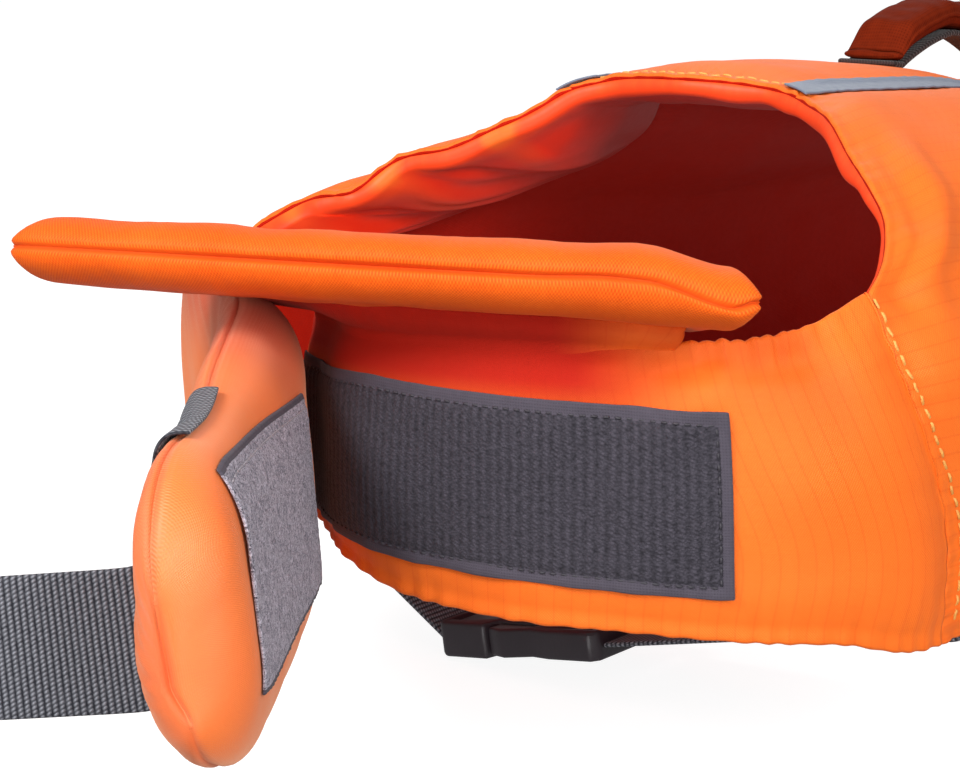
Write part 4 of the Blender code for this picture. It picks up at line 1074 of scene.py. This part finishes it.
def makeLoopTape():
    look = tapeLook
    along, rise = loopGrid(*np.meshgrid(np.linspace(*look["loopFromTip"], 110), np.linspace(0, 1, 54)))
    base = flapSides(along, rise)[1]
    place = clothPlace(base)
    u, v = place[..., 0], place[..., 1]
    width, height = gridSize(place)
    nap = softNoise(u, v, 0.0022, 71, 14) * 0.00012
    frayed = 0.00010 * softNoise(u, v, 0.004, 72, 12) * np.exp(-np.minimum(v, height - v) / 0.002)
    sewn = 0.0003 * bell(v - look["loopStitch"], 0.0009) * smoothStep(u, 0.0, 0.004)
    lift = look["gap"] + look["thick"] + nap + frayed - sewn
    outer = flapSides(along, rise, liftIn=lift)[1]
    inner = flapSides(along, rise, liftIn=look["gap"])[1]
    made = clothMesh("loop_tape_nap", outer, inner, place, (loopGrey,))
    selvage(made, lambda u, v: min(v, height - v) < look["loopSelvage"])
    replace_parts(made, "loop_tape")


makeRightFlap()
makeLoopTape()
print("right chest flap made")


floatLook = {"right": (0.1263, -0.2054, -0.0305), "left": (-0.0805, -0.2831, -0.0300), "depth": 0.052,
             "half": (0.0101, 0.0094), "farScale": 0.72, "drop": 0.22, "round": 0.017, "endShare": 0.70,
             "endDrop": 0.0010, "edgeDome": 0.013, "topEnd": 0.0056, "underEnd": 0.0044, "clear": 0.0002,
             "edge": 0.0003, "seamDepth": 0.0022, "seamWidth": 0.0011, "pucker": 0.00030, "puckerPitch": 0.0090,
             "rumple": 0.0005, "rumpleSize": 0.032, "seamFall": 0.0047, "seamFallAt": (0.081, 0.106),
             "seamEnd": 0.0024, "seamEndReach": 0.006, "seamDip": 0.0008, "seamDipAt": 0.070, "seamDipWidth": 0.012,
             "shiftReach": 0.012, "taper": 0.26, "taperAt": (0.076, 0.104), "seamShade": 0.50, "seamShadeWidth": 0.0008}
hingeLook = {"plans": (math.radians(43.2), math.radians(120)), "bulge": 0.0014, "slant": 0.060, "lean": 0.050,
             "fullness": 1.15}
hingeRows = ((0.90, -0.0018), (0.93, -0.0010), (0.955, -0.0004), (0.975, 0.0001), (0.992, 0.0005))  # rise, lift


def floatFrame():
    look = floatLook
    right, left = np.array(look["right"]), np.array(look["left"])
    longAxis = unit(left - right)
    back = unit(np.array([-longAxis[1], longAxis[0], 0.0]))
    back = back * (1 if back[1] > 0 else -1)
    depthAxis = unit(back - np.array([0, 0, look["drop"]]))
    up = np.cross(depthAxis, longAxis)
    return (right + left) / 2, np.linalg.norm(left - right) / 2, longAxis, depthAxis, up * np.sign(up[2])


floatCentre, floatReach, floatLong, floatDeep, floatUp = floatFrame()


def floatBase(u, v):
    look = floatLook
    u, v = paired(u, v)
    toEnd = (1 - np.abs(u)) * floatReach
    shorten = between(look["endShare"], 1, dome(toEnd, look["round"]))
    depth = look["depth"] * (0.42 + (v - 0.42) * shorten)
    along = floatReach * u * (1 - (1 - look["farScale"]) * v)
    sag = -look["endDrop"] * (1 - smoothStep(toEnd, 0.0, 0.030)) * (u < 0)
    return floatCentre + along[..., None] * floatLong + depth[..., None] * floatDeep + sag[..., None] * floatUp


def floatHalf(u):
    return between(*floatLook["half"], (u + 1) / 2)


def floatThick(u, v, side="topEnd"):
    look = floatLook
    fill = dome((1 - np.abs(u)) * floatReach, look[side]) * dome(v * look["depth"], look["edgeDome"])
    fill = fill * dome((1 - v) * look["depth"], look["edgeDome"])
    return between(look["edge"], floatHalf(u), fill), fill


def floatSeamShift(u):
    # how far the seam falls below the middle of the free edge towards the right end
    look = floatLook
    place = -u * floatReach
    fall = look["seamFall"] * smoothStep(place, *look["seamFallAt"])
    fall = fall - look["seamEnd"] * smoothStep(place, floatReach - look["seamEndReach"], floatReach)
    return fall - look["seamDip"] * bell(place - look["seamDipAt"], look["seamDipWidth"])


def makeFloat():
    look = floatLook
    v = crowded(look["depth"], 0.0135, 16, 13) / look["depth"]
    u = crowded(2 * floatReach, 0.014, 150, 13) / floatReach - 1
    grid, rows = np.meshgrid(u, v)
    thick, fill = floatThick(grid, rows)
    base = floatBase(grid, rows)
    run = grid * floatReach
    toSeam = np.minimum(rows, 1 - rows) * look["depth"]
    pucker = gathers(run, look["puckerPitch"], 81) * look["pucker"] * np.exp(-toSeam / 0.006) * fill
    rumple = softNoise(run, rows * look["depth"], look["rumpleSize"], 82) * look["rumple"] * fill
    pull = look["seamDepth"] * bell(thick, look["seamWidth"])
    inward = unit(floatBase(grid * 0.96, rows * 0.9 + 0.05) - base) * pull[..., None]
    shift = floatSeamShift(grid) * bell(rows * look["depth"], look["shiftReach"])
    tilt = shift / floatHalf(grid)
    taper = 1 - look["taper"] * smoothStep(-grid * floatReach, *look["taperAt"])
    top = base + floatUp * ((thick * (1 + tilt) + pucker + rumple) * taper - shift)[..., None] + inward
    full = floatThick(grid, rows, "underEnd")[0]
    under = base - floatUp * (full * (1 - tilt) + shift + pucker + rumple * 0.6)[..., None] + inward
    # painted shade: darker red along the seam's crease
    crevice = look["seamShade"] * bell(thick, look["seamShadeWidth"])
    made = clothMesh("chin_float_cloth", top, under, clothPlace(base), (floatOrange,), crevice)
    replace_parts(made, "chin_float")


def floatUnder(points):
    # nearest place on the float's underside
    look = floatLook
    flatLong, flatDeep = floatLong[:2], floatDeep[:2]
    rel = points[..., :2] - floatCentre[:2]
    v = np.clip((rel @ flatDeep) / (flatDeep @ flatDeep) / look["depth"], 0.10, 0.86)
    u = (rel @ flatLong) / (flatLong @ flatLong) / (floatReach * (1 - (1 - look["farScale"]) * v))
    u = np.clip(u, -0.9, 0.9)
    return floatBase(u, v) - floatUp * floatThick(u, v)[0][..., None]


def makeHinge():
    # web between the flap's neckline and the float's underside
    look = hingeLook
    plans = np.linspace(*look["plans"], 150)
    columns = []
    for rise, lift in hingeRows:
        slant = look["slant"] * (0.992 - rise) / 0.09 + look["lean"]
        slant = plans + slant * (1 - smoothStep(plans, plans[0], plans[0] + 0.25))
        low, high = chest(slant, "lowerEdge"), chest(slant, "neckline")
        along = chestAt(slant, between(low, high, rise))[0]
        lift = lift - 0.0016 * (1 - smoothStep(plans, plans[0] + 0.04, plans[0] + 0.34)) * (rise < 0.98)
        columns.append(chestSides(along, rise, lift, chestRelief(along, rise))[0])
    start = columns[-1]
    out = unit(start * [1, 1, 0] - [0, bodySize["noseStart"], 0])
    end = floatUnder(nosePoint(plans, start[:, 2])) + [0, 0, floatLook["clear"]]
    for share in np.linspace(0, 1, 10)[1:]:
        wave = 0.0004 * gathers(plans * panelSize["arc"], 0.013, 91) * share
        bend = look["bulge"] * math.sin(share * math.pi) + wave
        columns.append(between(start, end, share) + out * bend[:, None])
    grid = np.stack(columns)
    place = clothPlace(grid)
    # painted shade: the web turns deep red where the float shades it, paler only near its first end
    shade = 0.30 + 0.70 * smoothStep(plans, 0.85, 1.1)[None, :]
    made = clothMesh("float_hinge_cloth", grid + out * 0.0004, grid - out * 0.0008, place, (shellOrange, liningRed),
                     shade)
    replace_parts(made, "float_hinge")


makeFloat()
makeHinge()
print("chin float made")


strapLook = {"width": 0.038, "thick": 0.0016, "rest": 0.0004, "frontY": -0.092, "rearY": 0.130,
             "sewn": (math.radians(109), math.radians(123.8)), "hang": 0.0030, "turn": 0.0070,
             "ends": ((0.0080, -0.1745), (-0.0620, -0.1862)), "buckleLength": 0.070, "buckleWidth": 0.048,
             "buckleThick": 0.0125, "slot": (0.0040, 0.0086), "slotHalf": 0.0195, "slotBevel": 0.0006}
housingCuts = ((-0.019, -0.002, 0.013, 0.0013, 0.0008), (-0.026, -0.0215, 0.0125, 0.0009, 0.0006))
prongCuts = tuple((x, x + 0.0013, 0.016, 0.0007, 0.0003) for x in (0.0150, 0.0185, 0.0220))


def webbingMesh(name, middle, thick, finish, replaced):
    # webbing along a grid of middle points, rows along it
    half, place = gridOut(middle) * thick / 2, clothPlace(middle)
    made = clothMesh(name, middle + half, middle - half, place, (finish,))
    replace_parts(made, replaced)


def strapMesh(name, middle, replaced):
    webbingMesh(name, middle, strapLook["thick"], strapGrey, replaced)


def bellyHalf(name, side, y, stop):
    look = strapLook
    across = np.linspace(-look["width"] / 2, look["width"] / 2, 17)
    angles, ys = np.meshgrid(side * np.linspace(*look["sewn"], 22), y + across, indexing="ij")
    base, out, lift = bodySkin(angles, ys)
    sewn = base + out * (lift + look["rest"] + look["thick"] / 2)[..., None]
    sewn[..., 1] = ys
    last, onward = sewn[-1], unit(sewn[-1] - sewn[-2])
    target = stop + np.stack([across * 0, across, across * 0], axis=-1)
    share = (np.linspace(0, 1, 60)[1:] ** 1.5)[:, None, None]
    reach = share * np.linalg.norm(target - last, axis=-1)[:, None] / look["turn"]
    hang = onward * look["hang"] * reach * np.exp(1 - reach) * (1 - share)
    strapMesh(name + "_webbing", np.concatenate([sewn, between(last, target, share) + hang]), name)


def axesMatrix(centre, along, across, out):
    rows = [[float(column[r]) for column in (along, across, out, centre)] for r in range(3)]
    return Matrix(rows + [[0.0, 0.0, 0.0, 1.0]])


def selectOnly(thing):
    bpy.ops.object.select_all(action="DESELECT")
    thing.select_set(True)
    bpy.context.view_layer.objects.active = thing


def softenEdges(made, width, limit=None):
    soft = made.modifiers.new("soft edges", "BEVEL")
    soft.width, soft.segments = width, 3
    if limit:
        soft.limit_method, soft.angle_limit = limit, math.radians(40)
    selectOnly(made)
    bpy.ops.object.modifier_apply(modifier="soft edges")
    bpy.ops.object.shade_smooth_by_angle(angle=math.radians(35))
    return made


def plateFrom(name, outline, thick, bevel):
    # flat moulding from an outline, with softly rounded edges
    bpy.ops.object.select_all(action="DESELECT")
    bpy.ops.mesh.primitive_circle_add(vertices=len(outline), radius=0.02, fill_type="NGON")
    made = bpy.context.object
    made.name = name
    for vertex, (x, y) in zip(made.data.vertices, outline):
        vertex.co = (x, y, -thick / 2)
    bpy.ops.object.mode_set(mode="EDIT")
    bpy.ops.mesh.select_all(action="SELECT")
    bpy.ops.mesh.extrude_region_move(TRANSFORM_OT_translate={"value": (0, 0, thick)})
    bpy.ops.mesh.select_all(action="SELECT")
    bpy.ops.mesh.normals_make_consistent(inside=False)
    bpy.ops.object.mode_set(mode="OBJECT")
    return softenEdges(made, bevel, "ANGLE")


def boxAt(name, low, high, bevel):
    bpy.ops.object.select_all(action="DESELECT")
    centre = [(a + b) / 2 for a, b in zip(low, high)]
    bpy.ops.mesh.primitive_cube_add(size=1.0, location=centre, scale=[b - a for a, b in zip(low, high)])
    made = bpy.context.object
    made.name = name
    bpy.ops.object.transform_apply(location=True, rotation=True, scale=True)
    return softenEdges(made, bevel)


def cutAway(made, cutter):
    hole = made.modifiers.new("hole", "BOOLEAN")
    hole.operation, hole.solver, hole.object = "DIFFERENCE", "EXACT", cutter
    selectOnly(made)
    bpy.ops.object.modifier_apply(modifier="hole")
    bpy.data.objects.remove(cutter, do_unlink=True)


def mirrored(points):
    return list(points) + [(x, -y) for x, y in reversed(points)]


def makeHousing(name, place):
    look = strapLook
    end, wide = look["buckleLength"] / 2, look["buckleWidth"] / 2
    narrow, thick = wide - 0.0072, look["buckleThick"]
    shell = plateFrom(name + "_part", mirrored([(-end, wide - 0.003), (-end + 0.003, wide), (-0.013, wide),
                                                 (-0.011, narrow), (0.004, narrow), (0.008, narrow - 0.005)]),
                      thick, 0.0014)
    near, far = look["slot"]
    finishBuckle(shell, name, place, thick, (-end + near, -end + far), housingCuts)


def makeProngs(name, place):
    look = strapLook
    end, wide = look["buckleLength"] / 2, look["buckleWidth"] / 2
    narrow, thick = wide - 0.0064, look["buckleThick"] * 0.8
    outline = mirrored([(0.0090, narrow - 0.0052), (0.0050, narrow), (-0.0102, narrow), (-0.0118, wide - 0.001),
                        (-0.0040, wide + 0.0016), (0.0060, wide - 0.0016), (0.0140, wide), (end - 0.003, wide),
                        (end, wide - 0.003)])
    shell = plateFrom(name + "_part", outline, thick, 0.0012)
    near, far = look["slot"]
    finishBuckle(shell, name, place, thick, (end - far, end - near), prongCuts)


def finishBuckle(shell, name, place, thick, slot, cuts):
    # the webbing's slot goes right through; each cut in the top is start, end, half width, depth and bevel
    half = strapLook["slotHalf"]
    cutAway(shell, boxAt("slot", (slot[0], -half, -thick), (slot[1], half, thick), strapLook["slotBevel"]))
    for start, end, half, depth, bevel in cuts:
        cutAway(shell, boxAt("cut", (start, -half, thick / 2 - depth), (end, half, thick), bevel))
    shell.name = name + "_moulding"
    shell.data.transform(place)
    shell.data.materials.clear()
    shell.data.materials.append(buckleBlack)
    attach(shell, "root")
    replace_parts(shell, name)


def bellyStrap(label, y):
    look = strapLook
    ends = [np.array([x, y, z]) for x, z in look["ends"]]
    along = unit(ends[0] - ends[1])
    across = np.array([0.0, 1.0, 0.0])
    out = unit(np.cross(along, across))
    out = -out * np.sign(out[2])
    place = axesMatrix((ends[0] + ends[1]) / 2, along, across, out)
    makeHousing(label + "_buckle_housing", place)
    makeProngs(label + "_buckle_prongs", place)
    bellyHalf(label + "_strap_left", 1, y, ends[0] + along * look["rest"])
    bellyHalf(label + "_strap_right", -1, y, ends[1] - along * look["rest"])


neckStrapLook = {"sewn": (0.108, 0.080), "z": -0.1200, "bend": 0.012, "pull": (-0.85, -0.52), "free": 0.090,
                 "droop": 0.0135}
anchorLook = {"angle": math.radians(91), "y": -0.060, "clear": 0.0008}


def ribbonGrid(centres, across, width, columns=17):
    offsets = np.linspace(-width / 2, width / 2, columns)[None, :, None]
    return centres[:, None, :] + unit(across)[:, None, :] * offsets


def refine(points, count):
    steps = stepsAlong(points)
    table = np.column_stack([steps, points])
    keys = np.linspace(0, steps[-1], count)
    return np.stack([smoothRow(table, k, keys) for k in range(1, points.shape[1] + 1)], axis=-1)


def makeNeckStrap():
    look = neckStrapLook
    sewn = np.linspace(*look["sewn"], 5)
    along, rise = flapAt(sewn, np.full_like(sewn, look["z"]))
    line = flapSides(along, rise, liftOut=strapLook["rest"] + strapLook["thick"] / 2)[0]
    line[:, 2] = look["z"]
    start, run = line[-1], unit((line[-1] - line[-2]) * [1, 1, 0])
    pull = unit(np.array([*look["pull"], 0.0]))
    turn = [start + run * look["bend"] * math.sin(a) + pull * look["bend"] * (1 - math.cos(a))
            for a in np.radians((22, 45, 68, 90))]
    free = [turn[-1] + pull * s for s in np.linspace(0.008, look["free"], 9)]
    centres = np.vstack([line, turn, free])
    loose = len(turn) + len(free)
    centres[:, 2] -= np.concatenate([np.zeros(len(line)), np.linspace(0, look["droop"], loose)])
    upper = flapSides(along, flapAt(sewn, np.full_like(sewn, look["z"] + 0.01))[1])[0]
    lean = unit(upper - flapSides(along, rise)[0])[-1]
    upright = np.linspace(0, 1, loose)[:, None]
    across = np.vstack([np.tile(lean, (len(line), 1)), lean * (1 - upright) + np.array([0, 0, 1.0]) * upright])
    both = refine(np.hstack([centres, across]), 110)
    strapMesh("neck_strap_webbing", ribbonGrid(both[:, :3], both[:, 3:], strapLook["width"]), "neck_strap")
    centre = centres[-1] + pull * (strapLook["rest"] + strapLook["buckleLength"] / 2)
    upward = np.array([0.0, 0.0, 1.0])
    makeProngs("neck_buckle_prongs", axesMatrix(centre, -pull, upward, unit(np.cross(-pull, upward))))


def makeAnchor():
    look = anchorLook
    angle, y = np.array(look["angle"]), np.array(look["y"])
    out = unit(bodyOut(angle, y) * [1, 0, 1])
    lift = panelSize["edgeHalf"] + panelSize["puffOut"] + look["clear"] + strapLook["buckleThick"] / 2
    along = np.array([0.0, -1.0, 0.0])
    across = unit(np.cross(out, along))
    makeHousing("neck_buckle_housing", axesMatrix(bodyPoint(angle, y) + out * lift, along, across, out))
    end = look["y"] + strapLook["buckleLength"] / 2 + strapLook["rest"]
    ys = np.array([0.0, 0.006, 0.012, 0.018, 0.030, 0.050]) + end
    base = bodyPoint(np.full_like(ys, look["angle"]), ys)
    flat = panelSize["edgeHalf"] + panelSize["puffOut"] + strapLook["rest"] + strapLook["thick"] / 2
    centres = base + out * np.interp(ys - end, [0, 0.018], [lift, flat])[:, None]
    centres = refine(centres, 44)
    strapMesh("neck_anchor_webbing", ribbonGrid(centres, np.tile(across, (len(centres), 1)), strapLook["width"]),
              "neck_anchor_tab")


patchLook = {"fromTip": (0.035, 0.084), "wrap": (0.92, 1.004), "lift": 0.0010, "thick": 0.0009}


def makePatch():
    # strap end sewn over the flap's upper edge
    look = patchLook
    grid, wrap = np.meshgrid(np.linspace(*look["fromTip"], 48), np.linspace(*look["wrap"], 60))
    along = 1 - grid / swingLength
    rise = np.where(wrap > 1, 2 - wrap, wrap)
    outer, inner = flapSides(along, rise, 0.0, 0.0, *flapRelief(along, rise))
    skin = np.where((wrap > 1)[..., None], inner, outer)
    points = skin.copy()
    for _ in range(6):
        points[1:-1] = (points[:-2] + 2 * points[1:-1] + points[2:]) / 4
    out = turned(gridOut(points), points - flapBase(along, 0.5))
    sunk = np.maximum(((skin - points) * out).sum(axis=-1), 0)
    points = points + out * sunk[..., None]
    place = clothPlace(points)[..., ::-1]
    made = clothMesh("strap_patch_webbing", points + out * (look["lift"] + look["thick"]),
                     points + out * look["lift"], place, (strapGrey,))
    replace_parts(made, "strap_keeper")


handleLook = {"front": 0.064, "rear": 0.172, "width": 0.0225, "rise": 0.0140, "foot": 0.006, "thick": 0.0022,
              "flat": 0.90, "gripWidth": 0.0235, "gripThick": 0.0110, "gripEnds": -0.003, "taper": 0.016,
              "endShare": 0.30}


def handleLine(start, end, count, lift):
    look = handleLook
    ys = np.linspace(start, end, count)
    turn = np.clip((ys - look["front"]) / (look["rear"] - look["front"]), 0, 1)
    rise = np.minimum(np.sin(turn * math.pi) ** 0.9 / look["flat"], 1.0) * look["rise"]
    ground = between(section(look["front"], "top"), section(look["rear"], "top"), turn)
    seat = panelSize["edgeHalf"] + panelSize["puffOut"] + strapLook["rest"] + look["thick"] / 2
    z = np.maximum(ground + seat + rise, section(ys, "top") + seat)
    slope = np.gradient(z, ys)
    run = np.hypot(1.0, slope)
    return np.stack([ys * 0, ys - lift * slope / run, z + lift / run], axis=-1)


def makeHandle():
    look = handleLook
    line = handleLine(look["front"] - look["foot"], look["rear"] + look["foot"], 130, 0.0)
    side = np.tile([1.0, 0.0, 0.0], (len(line), 1))
    grid = ribbonGrid(line, side, look["width"])
    webbingMesh("handle_webbing_arch", grid, look["thick"], handleDark, "handle_webbing")
    lift = look["thick"] / 2 + strapLook["rest"]
    line = handleLine(look["front"] + look["gripEnds"], look["rear"] - look["gripEnds"], 120, lift)
    across = np.linspace(-1, 1, 27)
    across = np.sign(across) * np.sin(np.abs(across) * math.pi / 2)
    centres = line[:, None] + np.array([1.0, 0.0, 0.0]) * (across * look["gripWidth"] / 2)[None, :, None]
    out = unit(np.cross(np.gradient(line, axis=0), [1.0, 0.0, 0.0]))
    out = (out * np.sign(out[:, 2:]))[:, None]
    steps = stepsAlong(line)
    taper = smoothStep(np.minimum(steps, steps[-1] - steps), 0.0, look["taper"])
    full = look["gripThick"] * between(look["endShare"], 1, taper)[:, None]
    share = 0.16 + 0.84 * np.sqrt(1 - across ** 4)[None, :]
    rumple = 0.00035 * softNoise(centres[..., 0], centres[..., 1], 0.011, 95) * share
    low = full * (1 - share) / 2
    place = clothPlace(centres)
    made = clothMesh("handle_grip_cloth", centres + out * (low + full * share + rumple)[..., None],
                     centres + out * low[..., None], place, (gripRust,))
    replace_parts(made, "handle_grip")


bellyStrap("front", strapLook["frontY"])
bellyStrap("rear", strapLook["rearY"])
makeNeckStrap()
makeAnchor()
makePatch()
makeHandle()
print("straps, buckles and handle made")


stitchLook = {"length": 0.0036, "gap": 0.0008, "thick": 0.00046, "sink": 0.00010}


def stitchLine(name, points, out, finish, look=stitchLook):
    # one mesh of short capsules lying along a line of points, raised along out
    steps = stepsAlong(points)
    pitch = look["length"] + look["gap"]
    corners, faces = [], []
    rings = ((-0.5, 0.25), (-0.36, 0.85), (0.0, 1.0), (0.36, 0.85), (0.5, 0.25))
    sides = 6
    for n in range(int(steps[-1] / pitch)):
        keys = n * pitch + look["gap"] / 2 + look["length"] * (np.array([r[0] for r in rings]) + 0.5)
        line = np.stack([np.interp(keys, steps, points[:, k]) for k in range(3)], axis=-1)
        up = unit(np.stack([np.interp(keys, steps, out[:, k]) for k in range(3)], axis=-1))
        across = unit(np.cross(np.gradient(line, axis=0), up))
        start = len(corners)
        for k, (_, size) in enumerate(rings):
            bury = look["sink"] + look["thick"] * (0.9 if k in (0, 4) else 0.0)
            centre = line[k] + up[k] * (look["thick"] * 0.6 - bury)
            for s in range(sides):
                a = 2 * math.pi * s / sides
                corners.append(centre + (across[k] * math.cos(a) * 1.25 + up[k] * math.sin(a)) * look["thick"] * size)
        for k in range(len(rings) - 1):
            for s in range(sides):
                t = (s + 1) % sides
                a, b = start + k * sides, start + (k + 1) * sides
                faces.append((a + s, a + t, b + t, b + s))
        faces.append(tuple(start + s for s in range(sides))[::-1])
        faces.append(tuple(start + (len(rings) - 1) * sides + s for s in range(sides)))
    mesh = bpy.data.meshes.new(name)
    mesh.from_pydata([tuple(c) for c in corners], [], faces)
    shape = bmesh.new()
    shape.from_mesh(mesh)
    bmesh.ops.recalc_face_normals(shape, faces=shape.faces)
    shape.to_mesh(mesh)
    shape.free()
    mesh.materials.append(finish)
    addPiece(name, mesh)


def shoulderStitches(side, name):
    # topstitching beside a shoulder seam, on the body panel
    angles = side * np.radians(np.linspace(61.5, 123, 400))
    y = edgeAt(shoulderRows, angles) + 0.0002 + 0.0050 * smoothStep(np.abs(angles), 1.12, 1.80)
    base, out, lift = bodySkin(angles, y)
    lift = lift + panelRelief(angles, y, side, panelSeeds[side])
    stitchLine(name, base + out * lift[:, None], out, threadOrange)


def rimStitches():
    angles = np.radians(np.linspace(-19.0, 19.0, 400))
    y = edgeAt(rimRows, angles) + 0.0032
    base, out, lift = bodySkin(angles, y)
    back, left, right = (panelRelief(angles, y, side, panelSeeds[side]) for side in (0, 1, -1))
    lift = lift + np.where(np.abs(angles) < stripAngle, back, np.where(angles > 0, left, right))
    stitchLine("neck_edge_stitches", base + out * lift[:, None], out, threadOrange)


def tapeStitches():
    look = tapeLook
    low, high = look["hookPlan"]
    near = low + math.radians(1.5)
    border = look["hookSelvage"]
    top, bottom = look["hookTop"] - border, look["hookTop"] - look["width"] + border
    plans = np.concatenate([np.linspace(high, near, 260), np.full(90, near), np.linspace(near, high, 260)])
    heights = np.concatenate([np.full(260, top), np.linspace(top, bottom, 90), np.full(260, bottom)])
    along, rise = hookGrid(plans, heights)
    lift = look["gap"] + look["thick"] - 0.0004
    under = chestRelief(along, rise)
    line = chestSides(along, rise, lift, under)[0]
    out = unit(chestSides(along, rise, lift + 0.01, under)[0] - line)
    fine = dict(stitchLook, length=0.0020, gap=0.0012, thick=0.00030)
    stitchLine("hook_tape_stitches", line, out, threadGrey, fine)
    grid = np.linspace(look["loopFromTip"][0] + 0.001, look["loopFromTip"][1] - 0.001, 260)
    along, rise = loopGrid(grid, np.full_like(grid, look["loopStitch"] / look["loopWidth"]))
    line = flapSides(along, rise, liftIn=look["gap"] + look["thick"])[1]
    out = unit(flapSides(along, rise, liftIn=0.01)[1] - line)
    stitchLine("loop_tape_stitches", line, out, threadPale, fine)


shoulderStitches(1, "shoulder_stitches_left")
shoulderStitches(-1, "shoulder_stitches_right")
rimStitches()
tapeStitches()
print("stitches made")


cameraLook = {"place": (0.4334, -0.6823, 0.0640), "azimuth": 40.0, "elevation": 12.0, "lens": 84.68}


def makeCamera():
    look = cameraLook
    azimuth, elevation = math.radians(look["azimuth"]), math.radians(look["elevation"])
    forward = Vector((-math.sin(azimuth) * math.cos(elevation), math.cos(azimuth) * math.cos(elevation),
                      -math.sin(elevation)))
    camera = bpy.data.objects.new("camera", bpy.data.cameras.new("camera"))
    camera.data.lens, camera.data.sensor_width = look["lens"], 36.0
    camera.data.clip_start = 0.01
    camera.location = look["place"]
    camera.rotation_mode = "QUATERNION"
    camera.rotation_quaternion = forward.to_track_quat("-Z", "Y")
    bpy.context.collection.objects.link(camera)
    bpy.context.scene.camera = camera


def softLight(name, place, target, size, power):
    light = bpy.data.lights.new(name, "AREA")
    light.shape, light.size, light.energy = "DISK", size, power
    made = bpy.data.objects.new(name, light)
    made.location = place
    made.rotation_mode = "QUATERNION"
    made.rotation_quaternion = (Vector(target) - Vector(place)).to_track_quat("-Z", "Y")
    bpy.context.collection.objects.link(made)


stageLook = {"world": 0.34, "floorSize": 14.0, "floorDrop": 0.0005, "floorGlow": 0.90}
lightRows = (  # name, place, target, size and power
    ("key", (-0.30, -1.50, 1.10), (0.0, -0.2, -0.08), 0.7, 26.0),
    ("side", (1.45, -0.70, 0.62), (0.0, -0.05, -0.05), 0.7, 18.5),
    ("back", (-0.9, 1.3, 1.0), (0.0, 0.0, -0.05), 1.0, 6.0),
    ("low", (0.62, -1.60, -0.05), (0.0, -0.2, -0.1), 0.9, 10.5),
)


def makeStage():
    look = stageLook
    world = bpy.data.worlds.new("studio")
    world.use_nodes = True
    world.node_tree.nodes["Background"].inputs["Color"].default_value = (1, 1, 1, 1)
    world.node_tree.nodes["Background"].inputs["Strength"].default_value = look["world"]
    bpy.context.scene.world = world
    bpy.context.scene.view_settings.view_transform = "Standard"
    for row in lightRows:
        softLight(*row)
    bpy.ops.object.select_all(action="DESELECT")
    bpy.ops.mesh.primitive_plane_add(size=look["floorSize"], location=(0, 0, cadLow[2] - look["floorDrop"]))
    floor = bpy.context.object
    floor.name = "floor"
    paint = Paint("floor_paper")
    place = paint.ownPlace()
    grain = paint.noise(place, 30.0)
    paint.plug(paint.shader.inputs["Emission Color"], (1.0, 1.0, 1.0))
    paint.plug(paint.shader.inputs["Emission Strength"], look["floorGlow"])
    floor.data.materials.append(paint.finish(Base_Color=paint.mix(grain, (0.28, 0.28, 0.28), (0.30, 0.30, 0.30)),
                                             Roughness=0.9))
    floor.visible_diffuse = False
    floor.visible_glossy = False


makeCamera()
makeStage()
print("camera, light and floor made")
